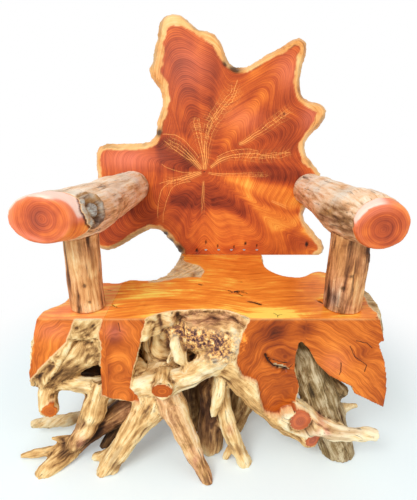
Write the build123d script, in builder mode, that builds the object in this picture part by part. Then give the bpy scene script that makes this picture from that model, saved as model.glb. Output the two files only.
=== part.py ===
from build123d import *
import math
import os

# A chair made of a tree stump: a sawn seat with its roots below, a slice of trunk as the back,
# and two logs on posts as the arms. X goes to the right as seen from the front, Y goes back and
# Z is up. While it is built, Y is 0 on the sawn front of the stump and Z is 0 on the floor.

# Seat, in millimetres.
seat_width = 860.0
seat_depth = 480.0
seat_height = 430.0
seat_thickness = 66.0
seat_edge = 4.0
seam_from_middle = 262.0
tongue_behind_back = 14.0
seat_flare = 1.05

# Back slab.
back_width = 874.0
back_height = 811.0
back_thickness = 60.0
back_lean = 8.0
live_edge_width = 15.0
live_edge_depth = 24.0
rear_edge_width = 8.0

# Arms and their posts.
arm_height = 686.0
arm_thickness = 116.0
post_thickness = 88.0
post_from_front = 68.0

# Roots: the width of a thick one, the depth of the sawn faces and the size of the core.
root_width = 100.0
cheek_depth = 178.0
buttress_depth = 124.0
core_width = 620.0
core_depth = 196.0
core_foot_width = 400.0
core_foot_depth = 150.0
core_foot_height = 186.0
core_from_front = 148.0

# Joinery. Lengths of dowels and screws are whole lengths.
clearance = 0.1
post_dowel_width = 20.0
post_dowel_length = 84.0
back_dowel_width = 16.0
back_dowel_length = 96.0
seam_dowel_width = 14.0
seam_dowel_length = 90.0
seat_dowel_width = 14.0
seat_dowel_length = 56.0
arm_screw_width = 8.0
arm_screw_length = 120.0
arm_screw_head_width = 16.0
arm_screw_head_height = 6.0
arm_screw_pitch = 52.0
right_screw_shift = 32.0
plug_width = 20.0
plug_length = 9.0
foot_screw_width = 5.0
foot_screw_length = 74.0
foot_screw_head_width = 10.0
foot_screw_head_height = 4.0
foot_screw_pitch = 47.0
foot_screw_count = 5
foot_screw_rise = 21.0
foot_screw_slope = 48.0
rim_share = 0.25

# How finely the curves are followed.
outline_steps = 132
steps_between_points = 2

# Outline of the seat top, as shares of the seat's width and depth.
scoop_shares = [
    (-0.184, 0.0), (-0.158, 0.044), (-0.116, 0.084), (-0.060, 0.100), (0.013, 0.106), (0.056, 0.090),
    (0.088, 0.052), (0.118, 0.0),
]
right_side_shares = [
    (0.487, 0.0), (0.522, 0.11), (0.536, 0.24), (0.530, 0.37), (0.484, 0.54), (0.421, 0.665), (0.385, 0.632),
    (0.338, 0.562), (0.292, 0.575), (0.252, 0.632), (0.226, 0.74), (0.222, 0.85), (0.230, 0.99),
]
left_side_shares = [
    (-0.119, 0.99), (-0.125, 0.88), (-0.136, 0.77), (-0.162, 0.60), (-0.190, 0.535), (-0.235, 0.505),
    (-0.285, 0.512), (-0.315, 0.468), (-0.373, 0.472), (-0.428, 0.38), (-0.452, 0.27), (-0.463, 0.175),
    (-0.487, 0.120), (-0.498, 0.0),
]

# Outline of the slab, as shares of its width and height, clockwise from the left of its top.
back_shares = [
    (-0.188, 0.985), (-0.160, 1.008), (-0.130, 1.014), (-0.104, 1.006), (-0.086, 0.996), (-0.063, 0.972),
    (-0.042, 0.958), (-0.016, 0.950), (0.012, 0.941), (0.042, 0.915), (0.062, 0.870), (0.078, 0.830),
    (0.098, 0.811), (0.124, 0.806), (0.156, 0.814), (0.192, 0.834), (0.226, 0.854), (0.256, 0.871),
    (0.282, 0.885), (0.310, 0.908), (0.332, 0.920), (0.358, 0.922), (0.379, 0.908), (0.385, 0.882),
    (0.377, 0.838), (0.366, 0.800), (0.363, 0.760), (0.366, 0.712), (0.380, 0.682), (0.408, 0.670),
    (0.438, 0.664), (0.462, 0.650), (0.475, 0.628), (0.466, 0.596), (0.446, 0.560), (0.416, 0.530),
    (0.398, 0.506), (0.394, 0.478), (0.402, 0.442), (0.424, 0.412), (0.448, 0.388), (0.465, 0.362),
    (0.458, 0.318), (0.440, 0.270), (0.420, 0.226), (0.402, 0.196), (0.399, 0.170), (0.414, 0.144),
    (0.446, 0.106), (0.480, 0.066), (0.496, 0.034), (0.492, 0.004), (0.470, -0.030), (-0.100, -0.030),
    (-0.118, 0.002), (-0.146, 0.038), (-0.182, 0.086), (-0.222, 0.118), (-0.268, 0.104), (-0.320, 0.076),
    (-0.376, 0.036), (-0.430, 0.018), (-0.468, 0.026), (-0.498, 0.082), (-0.494, 0.160), (-0.474, 0.250),
    (-0.458, 0.330), (-0.460, 0.390), (-0.460, 0.450), (-0.444, 0.482), (-0.414, 0.494), (-0.364, 0.492),
    (-0.308, 0.496), (-0.252, 0.498), (-0.222, 0.516), (-0.210, 0.552), (-0.204, 0.596), (-0.190, 0.630),
    (-0.184, 0.668), (-0.190, 0.706), (-0.204, 0.736), (-0.226, 0.766), (-0.232, 0.800), (-0.220, 0.828),
    (-0.214, 0.868), (-0.204, 0.900), (-0.196, 0.940),
]

# The sawn front faces under the seat, as shares of the seat's width and height.
left_cheek_shares = [
    (-0.498, 1.0), (-0.529, 0.826), (-0.552, 0.640), (-0.556, 0.520), (-0.521, 0.486), (-0.452, 0.690),
    (-0.394, 0.893), (-0.318, 1.0),
]
left_buttress_shares = [
    (-0.322, 1.0), (-0.323, 0.850), (-0.324, 0.742), (-0.333, 0.612), (-0.333, 0.458), (-0.301, 0.425),
    (-0.244, 0.405), (-0.215, 0.440), (-0.240, 0.519), (-0.236, 0.598), (-0.221, 0.712), (-0.205, 0.821),
    (-0.190, 1.0),
]
right_buttress_shares = [
    (0.120, 1.0), (0.091, 0.835), (0.084, 0.698), (0.102, 0.619), (0.150, 0.560), (0.160, 0.458),
    (0.173, 0.356), (0.219, 0.323), (0.247, 0.330), (0.271, 0.374), (0.283, 0.474), (0.284, 0.530),
    (0.266, 0.635), (0.264, 0.744), (0.270, 0.820), (0.271, 1.0),
]
right_cheek_shares = [
    (0.282, 1.0), (0.283, 0.828), (0.299, 0.798), (0.327, 0.698), (0.371, 0.605), (0.413, 0.556),
    (0.447, 0.523), (0.456, 0.474), (0.556, 0.365), (0.556, 0.500), (0.548, 0.612), (0.535, 0.705),
    (0.508, 0.835), (0.484, 1.0),
]
face_back_share = 0.80

# Routes of the roots: each point has its place as shares of the seat's width, depth and height,
# and its width as a share of a thick root. Thick roots come first, because later ones meet them.
root_shares = {
    "left_shoulder": [
        (-0.240, 0.160, 0.830, 1.30), (-0.312, 0.140, 0.772, 1.30), (-0.385, 0.120, 0.722, 1.10),
        (-0.455, 0.110, 0.615, 0.84), (-0.512, 0.105, 0.490, 0.64),
    ],
    "bark_brow": [
        (-0.150, 0.165, 0.800, 0.90), (-0.075, 0.150, 0.830, 1.10), (0.010, 0.130, 0.840, 1.25),
        (0.080, 0.100, 0.820, 1.20), (0.120, 0.110, 0.800, 1.00),
    ],
    "hollow_wall": [
        (-0.135, 0.225, 0.880, 1.25), (-0.142, 0.215, 0.700, 1.30), (-0.148, 0.200, 0.520, 1.15),
    ],
    "root_arch": [
        (-0.257, 0.052, 0.484, 0.50), (-0.209, 0.025, 0.509, 0.58), (-0.157, 0.004, 0.542, 0.62),
        (-0.103, 0.004, 0.565, 0.60), (-0.057, 0.013, 0.593, 0.62), (-0.010, 0.025, 0.656, 0.80),
        (0.060, 0.090, 0.760, 1.00),
    ],
    "front_left_root": [
        (-0.140, 0.150, 0.530, 1.20), (-0.163, 0.060, 0.440, 1.14), (-0.192, 0.010, 0.350, 0.98),
        (-0.233, -0.042, 0.247, 0.70), (-0.273, -0.083, 0.135, 0.60), (-0.312, -0.115, 0.020, 0.58),
        (-0.328, -0.128, -0.040, 0.56),
    ],
    "right_sweep": [
        (0.010, 0.130, 0.780, 1.20), (0.060, 0.080, 0.660, 1.08), (0.115, 0.050, 0.553, 0.98),
        (0.180, 0.030, 0.400, 0.86), (0.249, 0.018, 0.251, 0.80), (0.296, 0.012, 0.178, 0.68),
        (0.320, -0.020, 0.168, 0.60), (0.331, -0.064, 0.172, 0.52),
    ],
    "sweep_knob": [
        (0.262, 0.060, 0.300, 0.70), (0.282, 0.000, 0.300, 0.74), (0.289, -0.050, 0.302, 0.70),
    ],
    "grey_leg": [
        (0.262, 0.330, 0.820, 0.80), (0.304, 0.200, 0.688, 0.78), (0.332, 0.150, 0.528, 0.98),
        (0.375, 0.098, 0.335, 1.05), (0.408, 0.046, 0.155, 0.98), (0.430, 0.012, 0.000, 0.92),
        (0.436, 0.000, -0.060, 0.90),
    ],
    "tongue_prop": [
        (0.030, 0.300, 0.640, 1.50), (0.045, 0.520, 0.700, 1.60), (0.052, 0.760, 0.760, 1.60),
        (0.055, 0.980, 0.840, 1.40),
    ],
    "rear_left_leg": [
        (-0.170, 0.330, 0.700, 1.30), (-0.250, 0.470, 0.500, 1.15), (-0.320, 0.620, 0.260, 0.86),
        (-0.372, 0.750, 0.020, 0.66), (-0.386, 0.785, -0.050, 0.62),
    ],
    "rear_right_leg": [
        (0.200, 0.330, 0.700, 1.35), (0.270, 0.480, 0.490, 1.18), (0.330, 0.640, 0.250, 0.88),
        (0.376, 0.770, 0.020, 0.70), (0.388, 0.805, -0.050, 0.66),
    ],
    "rear_centre_leg": [
        (0.050, 0.700, 0.740, 1.20), (0.036, 0.860, 0.520, 1.00), (0.006, 0.960, 0.250, 0.80),
        (-0.026, 1.010, 0.020, 0.66), (-0.034, 1.024, -0.050, 0.62),
    ],
    "centre_leg": [
        (-0.185, 0.150, 0.640, 1.00), (-0.155, 0.050, 0.510, 0.92), (-0.115, -0.010, 0.395, 0.80),
        (-0.077, -0.073, 0.265, 0.64), (-0.038, -0.135, 0.123, 0.50), (-0.008, -0.188, 0.010, 0.38),
        (0.004, -0.210, -0.040, 0.34),
    ],
    "inner_right_leg": [
        (0.150, 0.330, 0.480, 1.10), (0.134, 0.275, 0.342, 1.00), (0.113, 0.232, 0.163, 0.88),
        (0.086, 0.200, 0.010, 0.70), (0.080, 0.192, -0.040, 0.68),
    ],
    "tap_root": [
        (0.022, 0.190, 0.480, 1.10), (0.020, 0.130, 0.360, 0.92), (0.012, 0.086, 0.220, 0.80),
        (0.008, 0.052, 0.080, 0.76), (0.008, 0.034, -0.040, 0.72),
    ],
    "inner_left_leg": [
        (-0.070, 0.340, 0.470, 0.80), (-0.066, 0.295, 0.342, 0.66), (-0.059, 0.252, 0.188, 0.61),
        (-0.050, 0.212, 0.010, 0.60), (-0.046, 0.200, -0.040, 0.60),
    ],
    "left_inner": [
        (-0.190, 0.270, 0.460, 0.80), (-0.248, 0.196, 0.270, 0.66), (-0.300, 0.130, 0.130, 0.58),
        (-0.342, 0.066, 0.010, 0.47), (-0.354, 0.046, -0.050, 0.44),
    ],
    "left_fork": [
        (-0.185, 0.180, 0.420, 0.80), (-0.231, 0.130, 0.312, 0.70), (-0.295, 0.085, 0.247, 0.68),
        (-0.360, 0.042, 0.167, 0.58), (-0.416, 0.000, 0.100, 0.50), (-0.452, -0.030, 0.062, 0.46),
    ],
    "arch_top": [
        (-0.522, 0.140, 0.470, 0.54), (-0.465, 0.090, 0.482, 0.50), (-0.400, 0.058, 0.488, 0.46),
        (-0.345, 0.050, 0.482, 0.54), (-0.270, 0.090, 0.520, 0.70), (-0.215, 0.150, 0.560, 0.80),
    ],
    "arch_leg": [
        (-0.340, 0.056, 0.520, 0.58), (-0.357, 0.036, 0.410, 0.64), (-0.380, 0.004, 0.284, 0.66),
        (-0.412, -0.020, 0.165, 0.60), (-0.440, -0.032, 0.085, 0.52), (-0.452, -0.040, 0.050, 0.46),
    ],
    "left_stub": [
        (-0.505, 0.130, 0.500, 0.62), (-0.519, 0.100, 0.460, 0.60), (-0.522, 0.068, 0.418, 0.58),
        (-0.512, 0.020, 0.382, 0.54), (-0.500, -0.030, 0.362, 0.48),
    ],
    "right_arm_root": [
        (0.215, 0.060, 0.330, 0.90), (0.266, 0.000, 0.322, 0.86), (0.322, -0.034, 0.262, 0.64),
        (0.381, -0.058, 0.236, 0.46), (0.459, -0.067, 0.230, 0.37), (0.532, -0.074, 0.228, 0.34),
    ],
    "right_foot_root": [
        (0.048, 0.130, 0.520, 0.62), (0.040, 0.070, 0.420, 0.52), (0.050, 0.022, 0.316, 0.43),
        (0.070, -0.021, 0.193, 0.47), (0.095, -0.052, 0.098, 0.47), (0.117, -0.075, 0.010, 0.38),
        (0.126, -0.084, -0.040, 0.36),
    ],
    "left_runner": [
        (-0.165, 0.330, 0.500, 0.66), (-0.250, 0.320, 0.300, 0.54), (-0.330, 0.280, 0.140, 0.46),
        (-0.394, 0.240, 0.091, 0.42), (-0.448, 0.198, 0.094, 0.38), (-0.528, 0.156, 0.098, 0.34),
        (-0.614, 0.125, 0.098, 0.25),
    ],
    "rear_left_spur": [
        (-0.290, 0.560, 0.360, 0.66), (-0.380, 0.580, 0.210, 0.48), (-0.460, 0.560, 0.070, 0.36),
        (-0.500, 0.545, -0.020, 0.30),
    ],
    "rear_right_spur": [
        (0.300, 0.560, 0.380, 0.68), (0.390, 0.560, 0.220, 0.50), (0.470, 0.530, 0.070, 0.38),
        (0.508, 0.515, -0.020, 0.32),
    ],
    "rear_low_root": [
        (-0.040, 0.400, 0.400, 0.80), (-0.100, 0.560, 0.230, 0.60), (-0.160, 0.720, 0.080, 0.46),
        (-0.196, 0.810, -0.030, 0.38),
    ],
    "arch_stub": [
        (-0.136, 0.040, 0.566, 0.62), (-0.137, -0.040, 0.574, 0.58), (-0.137, -0.098, 0.578, 0.52),
    ],
    "front_strand": [
        (-0.100, 0.150, 0.900, 0.40), (-0.093, 0.080, 0.830, 0.40), (-0.087, 0.040, 0.753, 0.32),
        (-0.072, 0.000, 0.650, 0.22), (-0.062, -0.030, 0.600, 0.16),
    ],
    "strand_fork": [
        (-0.090, 0.060, 0.800, 0.24), (-0.112, 0.040, 0.730, 0.18), (-0.128, 0.030, 0.675, 0.12),
    ],
    "hanging_root": [
        (0.056, 0.070, 0.640, 0.46), (0.038, 0.000, 0.530, 0.34), (0.025, -0.020, 0.430, 0.27),
        (0.014, -0.028, 0.316, 0.17),
    ],
    "grey_lump": [
        (0.350, 0.160, 0.560, 0.46), (0.395, 0.125, 0.470, 0.52), (0.430, 0.100, 0.418, 0.50),
        (0.452, 0.094, 0.395, 0.36),
    ],
    "grey_spur": [
        (0.380, 0.120, 0.190, 0.46), (0.457, 0.094, 0.270, 0.31), (0.496, 0.083, 0.306, 0.17),
    ],
    "prong_foot": [
        (-0.430, -0.010, 0.100, 0.54), (-0.468, -0.066, 0.052, 0.52), (-0.502, -0.118, 0.006, 0.50),
        (-0.522, -0.150, -0.040, 0.46),
    ],
    "prong_long": [
        (-0.430, -0.026, 0.080, 0.42), (-0.506, -0.036, 0.062, 0.32), (-0.562, -0.042, 0.040, 0.25),
        (-0.614, -0.046, 0.020, 0.16),
    ],
    "prong_tip": [
        (-0.410, -0.004, 0.100, 0.38), (-0.462, -0.016, 0.128, 0.26), (-0.512, -0.022, 0.146, 0.12),
    ],
    "front_left_prong": [
        (-0.270, -0.080, 0.150, 0.40), (-0.330, -0.064, 0.058, 0.31), (-0.376, -0.046, 0.018, 0.24),
    ],
    "right_foot_prong": [
        (0.086, -0.040, 0.150, 0.28), (0.062, -0.046, 0.050, 0.19), (0.050, -0.048, -0.030, 0.15),
    ],
}

# Routes of the arms and posts: places as shares of the seat's width and depth and of the arm's
# thickness above its height, then the log's width and height as shares of its thickness.
left_arm_shares = [
    (-0.419, -0.130, 0.120, 1.24, 0.94), (-0.418, -0.118, 0.120, 1.34, 1.06),
    (-0.413, -0.080, 0.112, 1.32, 1.10), (-0.392, 0.020, 0.065, 1.18, 1.06),
    (-0.370, 0.150, 0.010, 1.08, 1.04), (-0.350, 0.480, -0.030, 1.01, 1.02),
    (-0.328, 0.800, -0.060, 0.97, 0.97), (-0.308, 1.200, -0.090, 0.94, 0.94),
]
right_arm_shares = [
    (0.432, -0.138, 0.000, 1.02, 0.94), (0.432, -0.126, 0.005, 1.12, 1.06),
    (0.430, -0.090, 0.030, 1.14, 1.14), (0.422, 0.020, 0.050, 1.06, 1.10),
    (0.413, 0.150, -0.035, 1.02, 1.00), (0.410, 0.480, -0.050, 0.97, 0.97),
    (0.415, 0.800, -0.110, 0.98, 0.98), (0.421, 1.200, -0.200, 1.01, 1.01),
]
left_post_shares = [
    (-0.372, 0.0, 1.02), (-0.372, 0.30, 0.99), (-0.372, 0.62, 1.03), (-0.373, 1.0, 1.06),
]
right_post_shares = [
    (0.414, 0.0, 1.12), (0.415, 0.30, 1.13), (0.415, 0.62, 1.10), (0.414, 1.0, 1.13),
]

# Places of the joinery, as shares of the seat's width and depth.
back_dowel_shares = [-0.070, 0.078]
foot_screw_start_share = -0.011
seam_dowel_shares = [0.28, 0.42]
seat_dowel_shares = [
    (-0.465, 0.13), (-0.262, 0.13), (0.160, 0.13), (0.440, 0.13), (-0.060, 0.30), (0.120, 0.30),
]

# Planes and levels that pieces share.
floor_plane = Plane.XY
seat_plane = Plane.XY.offset(seat_height)
seat_under = seat_height - seat_thickness
lean = math.radians(back_lean)
back_facing = Vector(0, -math.cos(lean), math.sin(lean))
back_plane = Plane(origin=(0, seat_depth, seat_height), x_dir=(1, 0, 0), z_dir=back_facing)
back_foot_depth = back_thickness / math.cos(lean)
tongue_end = seat_depth + back_foot_depth + tongue_behind_back
post_height = arm_height - seat_height


def grow(middles, widths, heights, steps):
    """A log or a root: round sections along a smooth route, joined by straight stretches."""
    route = Spline(*middles)
    stretches = len(middles) - 1
    chord = middles[-1] - middles[0]
    across = Vector(0, 1, 0) if abs(chord.Y) < max(abs(chord.X), abs(chord.Z)) else Vector(1, 0, 0)
    with BuildPart() as grown:
        for step in range(stretches * steps + 1):
            place = step / (stretches * steps)
            at = route @ place
            ahead = route % place
            reach = place * stretches
            before = min(int(reach), stretches - 1)
            share = reach - before
            width = widths[before] * (1 - share) + widths[before + 1] * share
            height = heights[before] * (1 - share) + heights[before + 1] * share
            side = across.cross(ahead)
            with BuildSketch(Plane(origin=at, x_dir=side, z_dir=ahead)):
                Ellipse(height / 2, width / 2)
        loft(ruled=True)
    return grown.part


def root(points):
    """A tapering root from its table of shares."""
    middles = [Vector(x * seat_width, y * seat_depth, z * seat_height) for x, y, z, width in points]
    widths = [width * root_width for x, y, z, width in points]
    return grow(middles, widths, widths, steps_between_points)


def arm(points):
    """An arm log from its table of shares."""
    middles = [
        Vector(x * seat_width, y * seat_depth, arm_height + rise * arm_thickness)
        for x, y, rise, width, height in points
    ]
    widths = [width * arm_thickness for x, y, rise, width, height in points]
    heights = [height * arm_thickness for x, y, rise, width, height in points]
    return grow(middles, widths, heights, steps_between_points)


def post(points):
    """A post from its table of shares, from the seat up into its arm log."""
    middles = [
        Vector(x * seat_width, post_from_front, seat_height + z * post_height) for x, z, width in points
    ]
    widths = [width * post_thickness for x, z, width in points]
    return grow(middles, widths, widths, steps_between_points)


def sawn_face(points, depth):
    """A block behind a sawn front face, a little smaller at its back."""
    with BuildPart() as block:
        with BuildSketch(Plane.XZ):
            with BuildLine():
                Polyline(*[(x * seat_width, z * seat_height) for x, z in points], close=True)
            make_face()
        middle_x = sum(x for x, z in points) / len(points) * seat_width
        back_points = [
            (
                middle_x + (x * seat_width - middle_x) * face_back_share,
                seat_height - (1 - z) * seat_height * face_back_share,
            )
            for x, z in points
        ]
        with BuildSketch(Plane.XZ.offset(-depth)):
            with BuildLine():
                Polyline(*back_points, close=True)
            make_face()
        loft(ruled=True)
        split(bisect_by=Plane.XY.offset(seat_under), keep=Keep.BOTTOM)
    return block.part


def boxes_meet(one, other):
    """Whether two pieces are near enough to touch."""
    a = one.bounding_box()
    b = other.bounding_box()
    lows = (a.min.X < b.max.X, a.min.Y < b.max.Y, a.min.Z < b.max.Z)
    highs = (b.min.X < a.max.X, b.min.Y < a.max.Y, b.min.Z < a.max.Z)
    return all(lows) and all(highs)


def fitted(blank, neighbours):
    """A blank cut where its neighbours already are, and sawn off at the floor."""
    with BuildPart() as piece:
        add(blank)
        split(bisect_by=floor_plane, keep=Keep.TOP)
        for neighbour in neighbours:
            if boxes_meet(blank, neighbour):
                add(neighbour, mode=Mode.SUBTRACT)
    return piece.part.solids().sort_by(SortBy.VOLUME)[-1]


def upright(places, middle, width, length):
    """Upright round pins of one size, around a middle height."""
    with BuildPart() as pins:
        with Locations(*[(x, y, middle) for x, y in places]):
            Cylinder(width / 2, length)
    return pins.part


def screw(start, direction, sizes, gap):
    """A countersunk screw from the middle of its head, with a gap all round it."""
    width, length, head_width, head_height = sizes
    shank = width / 2 + gap
    head = head_width / 2 + gap
    profile = [
        (0, -gap), (head, -gap), (head, head_height * rim_share), (shank, head_height),
        (shank, length - width), (0, length + gap),
    ]
    axis_plane = Plane(origin=start, z_dir=direction)
    side_plane = Plane(origin=start, x_dir=axis_plane.x_dir, z_dir=axis_plane.x_dir.cross(direction))
    up = side_plane.y_dir.dot(direction)
    with BuildPart() as made:
        with BuildSketch(side_plane):
            with BuildLine():
                Polyline(*[(x, y * up) for x, y in profile], close=True)
            make_face()
        revolve(axis=Axis(start, direction))
    return made.part


def screws(starts, direction, sizes, gap):
    """A row of like screws in one group."""
    with BuildPart() as group:
        for start in starts:
            add(screw(start, direction, sizes, gap))
    return group.part


# Seat: the sawn top of the stump, wider below, and the end that is joined on at the left.
def seat_outline(flare):
    """The seat's outline, with its width times a flare: straight where sawn, wavy where grown."""
    scoop, right_side, left_side = [
        [(x * seat_width * flare, y * seat_depth) for x, y in shares]
        for shares in (scoop_shares, right_side_shares, left_side_shares)
    ]
    Spline(*scoop)
    Line(scoop[-1], right_side[0])
    Spline(*right_side)
    tongue_right = (right_side[-1][0], tongue_end)
    tongue_left = (left_side[0][0], tongue_end)
    Polyline(right_side[-1], tongue_right, tongue_left, left_side[0])
    Spline(*left_side)
    Line(left_side[-1], scoop[0])


with BuildPart() as seat_blank:
    with BuildSketch(Plane.XY.offset(seat_under)):
        with BuildLine():
            seat_outline(seat_flare)
        make_face()
    with BuildSketch(seat_plane):
        with BuildLine():
            seat_outline(1)
        make_face()
    loft(ruled=True)
    front_edges = seat_blank.edges().filter_by(Axis.X).group_by(Axis.Z)[-1].group_by(Axis.Y)[0]
    fillet(front_edges, radius=seat_edge)

seam_plane = Plane.YZ.offset(-seam_from_middle)

# Dowels: under the posts, in their tops, under the slab, across the seam and under the seat.
post_shares = (left_post_shares, right_post_shares)
post_places = [(shares[0][0] * seat_width, post_from_front) for shares in post_shares]
post_tops = [(shares[-1][0] * seat_width, post_from_front) for shares in post_shares]
back_places = [(x * seat_width, seat_depth + back_foot_depth / 2) for x in back_dowel_shares]
seat_places = [(x * seat_width, y * seat_depth) for x, y in seat_dowel_shares]
post_top = arm_height - arm_thickness / 2
groups = {
    "post_foot_dowels": (post_places, seat_height, post_dowel_width, post_dowel_length),
    "arm_dowels": (post_tops, post_top, post_dowel_width, post_dowel_length),
    "back_dowels": (back_places, seat_height, back_dowel_width, back_dowel_length),
    "seat_dowels": (seat_places, seat_under, seat_dowel_width, seat_dowel_length),
}
joinery = {name: upright(*sizes) for name, sizes in groups.items()}
bores = {
    name: upright(places, middle, width + 2 * clearance, length + 2 * clearance)
    for name, (places, middle, width, length) in groups.items()
}


def seam_pins(gap):
    """The dowels that lie across the seam, with a gap all round them."""
    middle = seat_height - seat_thickness / 2
    with BuildPart() as pins:
        with Locations(*[(-seam_from_middle, y * seat_depth, middle) for y in seam_dowel_shares]):
            Cylinder(seam_dowel_width / 2 + gap, seam_dowel_length + 2 * gap, rotation=(0, 90, 0))
    return pins.part


joinery["seam_dowels"] = seam_pins(0)
bores["seam_dowels"] = seam_pins(clearance)

# Back slab: a slice of trunk with a bevelled natural edge, sawn off level where it stands.
back_outline = Spline(*[(x * back_width, y * back_height) for x, y in back_shares], periodic=True)
ring = [back_outline @ (step / outline_steps) for step in range(outline_steps)]


def drawn_in(points, amount):
    """The outline moved inwards by an amount."""
    moved = []
    for place, point in enumerate(points):
        along = points[(place + 2) % len(points)] - points[place - 2]
        moved.append(point + Vector(along.Y, -along.X).normalized() * amount)
    return moved


with BuildPart() as slab_blank:
    layers = [(0, live_edge_width), (-live_edge_depth, 0), (-back_thickness, rear_edge_width)]
    for level, inset in layers:
        with BuildSketch(back_plane.offset(level)):
            with BuildLine():
                Polyline(*[(p.X, p.Y) for p in drawn_in(ring, inset)], close=True)
            make_face()
    loft(ruled=True)
    split(bisect_by=seat_plane, keep=Keep.TOP)

# Arms, cut off against the slab.
arm_blanks = {}
for name, shares in {"arm_left": left_arm_shares, "arm_right": right_arm_shares}.items():
    with BuildPart() as log:
        add(arm(shares))
        split(bisect_by=back_plane, keep=Keep.TOP)
    arm_blanks[name] = log.part

# Screws: from behind the slab into the ends of the arms, under plugs, and down through its foot.
arm_screw_sizes = (arm_screw_width, arm_screw_length, arm_screw_head_width, arm_screw_head_height)
screw_places = []
for name, shift in {"arm_left": 0.0, "arm_right": -right_screw_shift}.items():
    arm_end = back_plane.to_local_coords(arm_blanks[name].faces().sort_by(Axis.Y)[-1].center())
    for side in (-1, 1):
        screw_places.append((arm_end.X + shift, arm_end.Y + side * arm_screw_pitch / 2))
head_level = plug_length - back_thickness
head_starts = [back_plane.from_local_coords(Vector(x, y, head_level)) for x, y in screw_places]
joinery["arm_screws"] = screws(head_starts, back_facing, arm_screw_sizes, 0)
bores["arm_screws"] = screws(head_starts, back_facing, arm_screw_sizes, clearance)


def plugs(gap):
    """The plugs over the arm screws, with a gap round them."""
    with BuildPart() as made:
        with BuildSketch(back_plane.offset(-back_thickness)):
            with Locations(*screw_places):
                Circle(plug_width / 2 + gap)
        extrude(amount=plug_length)
    return made.part


joinery["arm_plugs"] = plugs(0)
bores["arm_plugs"] = plugs(clearance)

foot_screw_sizes = (foot_screw_width, foot_screw_length, foot_screw_head_width, foot_screw_head_height)
slope = math.radians(foot_screw_slope)
foot_direction = Vector(0, math.cos(slope), -math.sin(slope))
foot_screw_start = foot_screw_start_share * seat_width
foot_starts = [
    back_plane.from_local_coords(Vector(foot_screw_start + place * foot_screw_pitch, foot_screw_rise, 0))
    for place in range(foot_screw_count)
]
joinery["foot_screws"] = screws(foot_starts, foot_direction, foot_screw_sizes, 0)
bores["foot_screws"] = screws(foot_starts, foot_direction, foot_screw_sizes, clearance)


def bored(blank, *names):
    """A blank with the bores of its joinery."""
    with BuildPart() as piece:
        add(blank)
        for name in names:
            add(bores[name], mode=Mode.SUBTRACT)
    return piece.part.solids().sort_by(SortBy.VOLUME)[-1]


with BuildPart() as block_blank:
    add(seat_blank.part)
    split(bisect_by=seam_plane, keep=Keep.TOP)
with BuildPart() as end_blank:
    add(seat_blank.part)
    split(bisect_by=seam_plane, keep=Keep.BOTTOM)

seat_bores = ("post_foot_dowels", "seam_dowels", "seat_dowels")
whole = {
    "seat_block": bored(block_blank.part, "back_dowels", "foot_screws", *seat_bores),
    "seat_end": bored(end_blank.part, *seat_bores),
    "back_slab": bored(slab_blank.part, "back_dowels", "foot_screws", "arm_screws", "arm_plugs"),
    "arm_left": bored(arm_blanks["arm_left"], "arm_screws", "arm_dowels"),
    "arm_right": bored(arm_blanks["arm_right"], "arm_screws", "arm_dowels"),
}

# Posts, from the seat up into a hollow that fits the log above.
for name, shares, log_name in (
    ("post_left", left_post_shares, "arm_left"),
    ("post_right", right_post_shares, "arm_right"),
):
    with BuildPart() as pillar:
        add(post(shares))
        split(bisect_by=seat_plane, keep=Keep.TOP)
        add(arm_blanks[log_name], mode=Mode.SUBTRACT)
    whole[name] = bored(pillar.part.solids().sort_by(Axis.Z)[0], "post_foot_dowels", "arm_dowels")

# Stump: the sawn faces, the core and then the roots, each fitted to what is there.
seats = [block_blank.part, end_blank.part]
stump = {}
faces = {
    "right_cheek": (right_cheek_shares, cheek_depth),
    "right_buttress": (right_buttress_shares, buttress_depth),
    "left_buttress": (left_buttress_shares, buttress_depth),
    "left_cheek": (left_cheek_shares, cheek_depth),
}
for name, (shares, depth) in faces.items():
    stump[name] = fitted(sawn_face(shares, depth), seats + list(stump.values()))

with BuildPart() as core_blank:
    with BuildSketch(Plane((0, core_from_front, seat_height))):
        Ellipse(core_width / 2, core_depth / 2)
    with BuildSketch(Plane((0, core_from_front, core_foot_height))):
        Ellipse(core_foot_width / 2, core_foot_depth / 2)
    loft(ruled=True)
stump["stump_core"] = fitted(core_blank.part, seats + list(stump.values()))

for name, shares in root_shares.items():
    stump[name] = fitted(root(shares), seats + list(stump.values()))
for name in [*faces, "stump_core"]:
    stump[name] = bored(stump[name], "seat_dowels")
whole.update(stump)
whole.update(joinery)

# The origin is the middle of the floor under the whole chair.
whole_box = Compound(list(whole.values())).bounding_box()
whole_middle = whole_box.center()
centred = Location((-whole_middle.X, -whole_middle.Y, 0))
os.makedirs("parts", exist_ok=True)
for name, piece in whole.items():
    placed = piece.moved(centred)
    placed.label = name
    export_step(placed, f"parts/{name}.step")
    print(name, len(placed.solids()), round(placed.volume), placed.is_valid)
print("middle", whole_middle, "size", whole_box.size)
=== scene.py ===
# %% [markdown]
# # A root chair
# The chair is a tree stump with a sawn seat, a slice of trunk as the back, and two logs as arms.
# The engineering model already has every piece at its real size and place. This script loads it
# as a fixed frame and gives the wood its skin: carved roots, polished cuts, knots and bark.

# %% Load the frame
import math

import bmesh
import bpy
import numpy as np
from mathutils import Matrix, Vector
from mathutils.bvhtree import BVHTree
from mathutils.kdtree import KDTree


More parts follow.
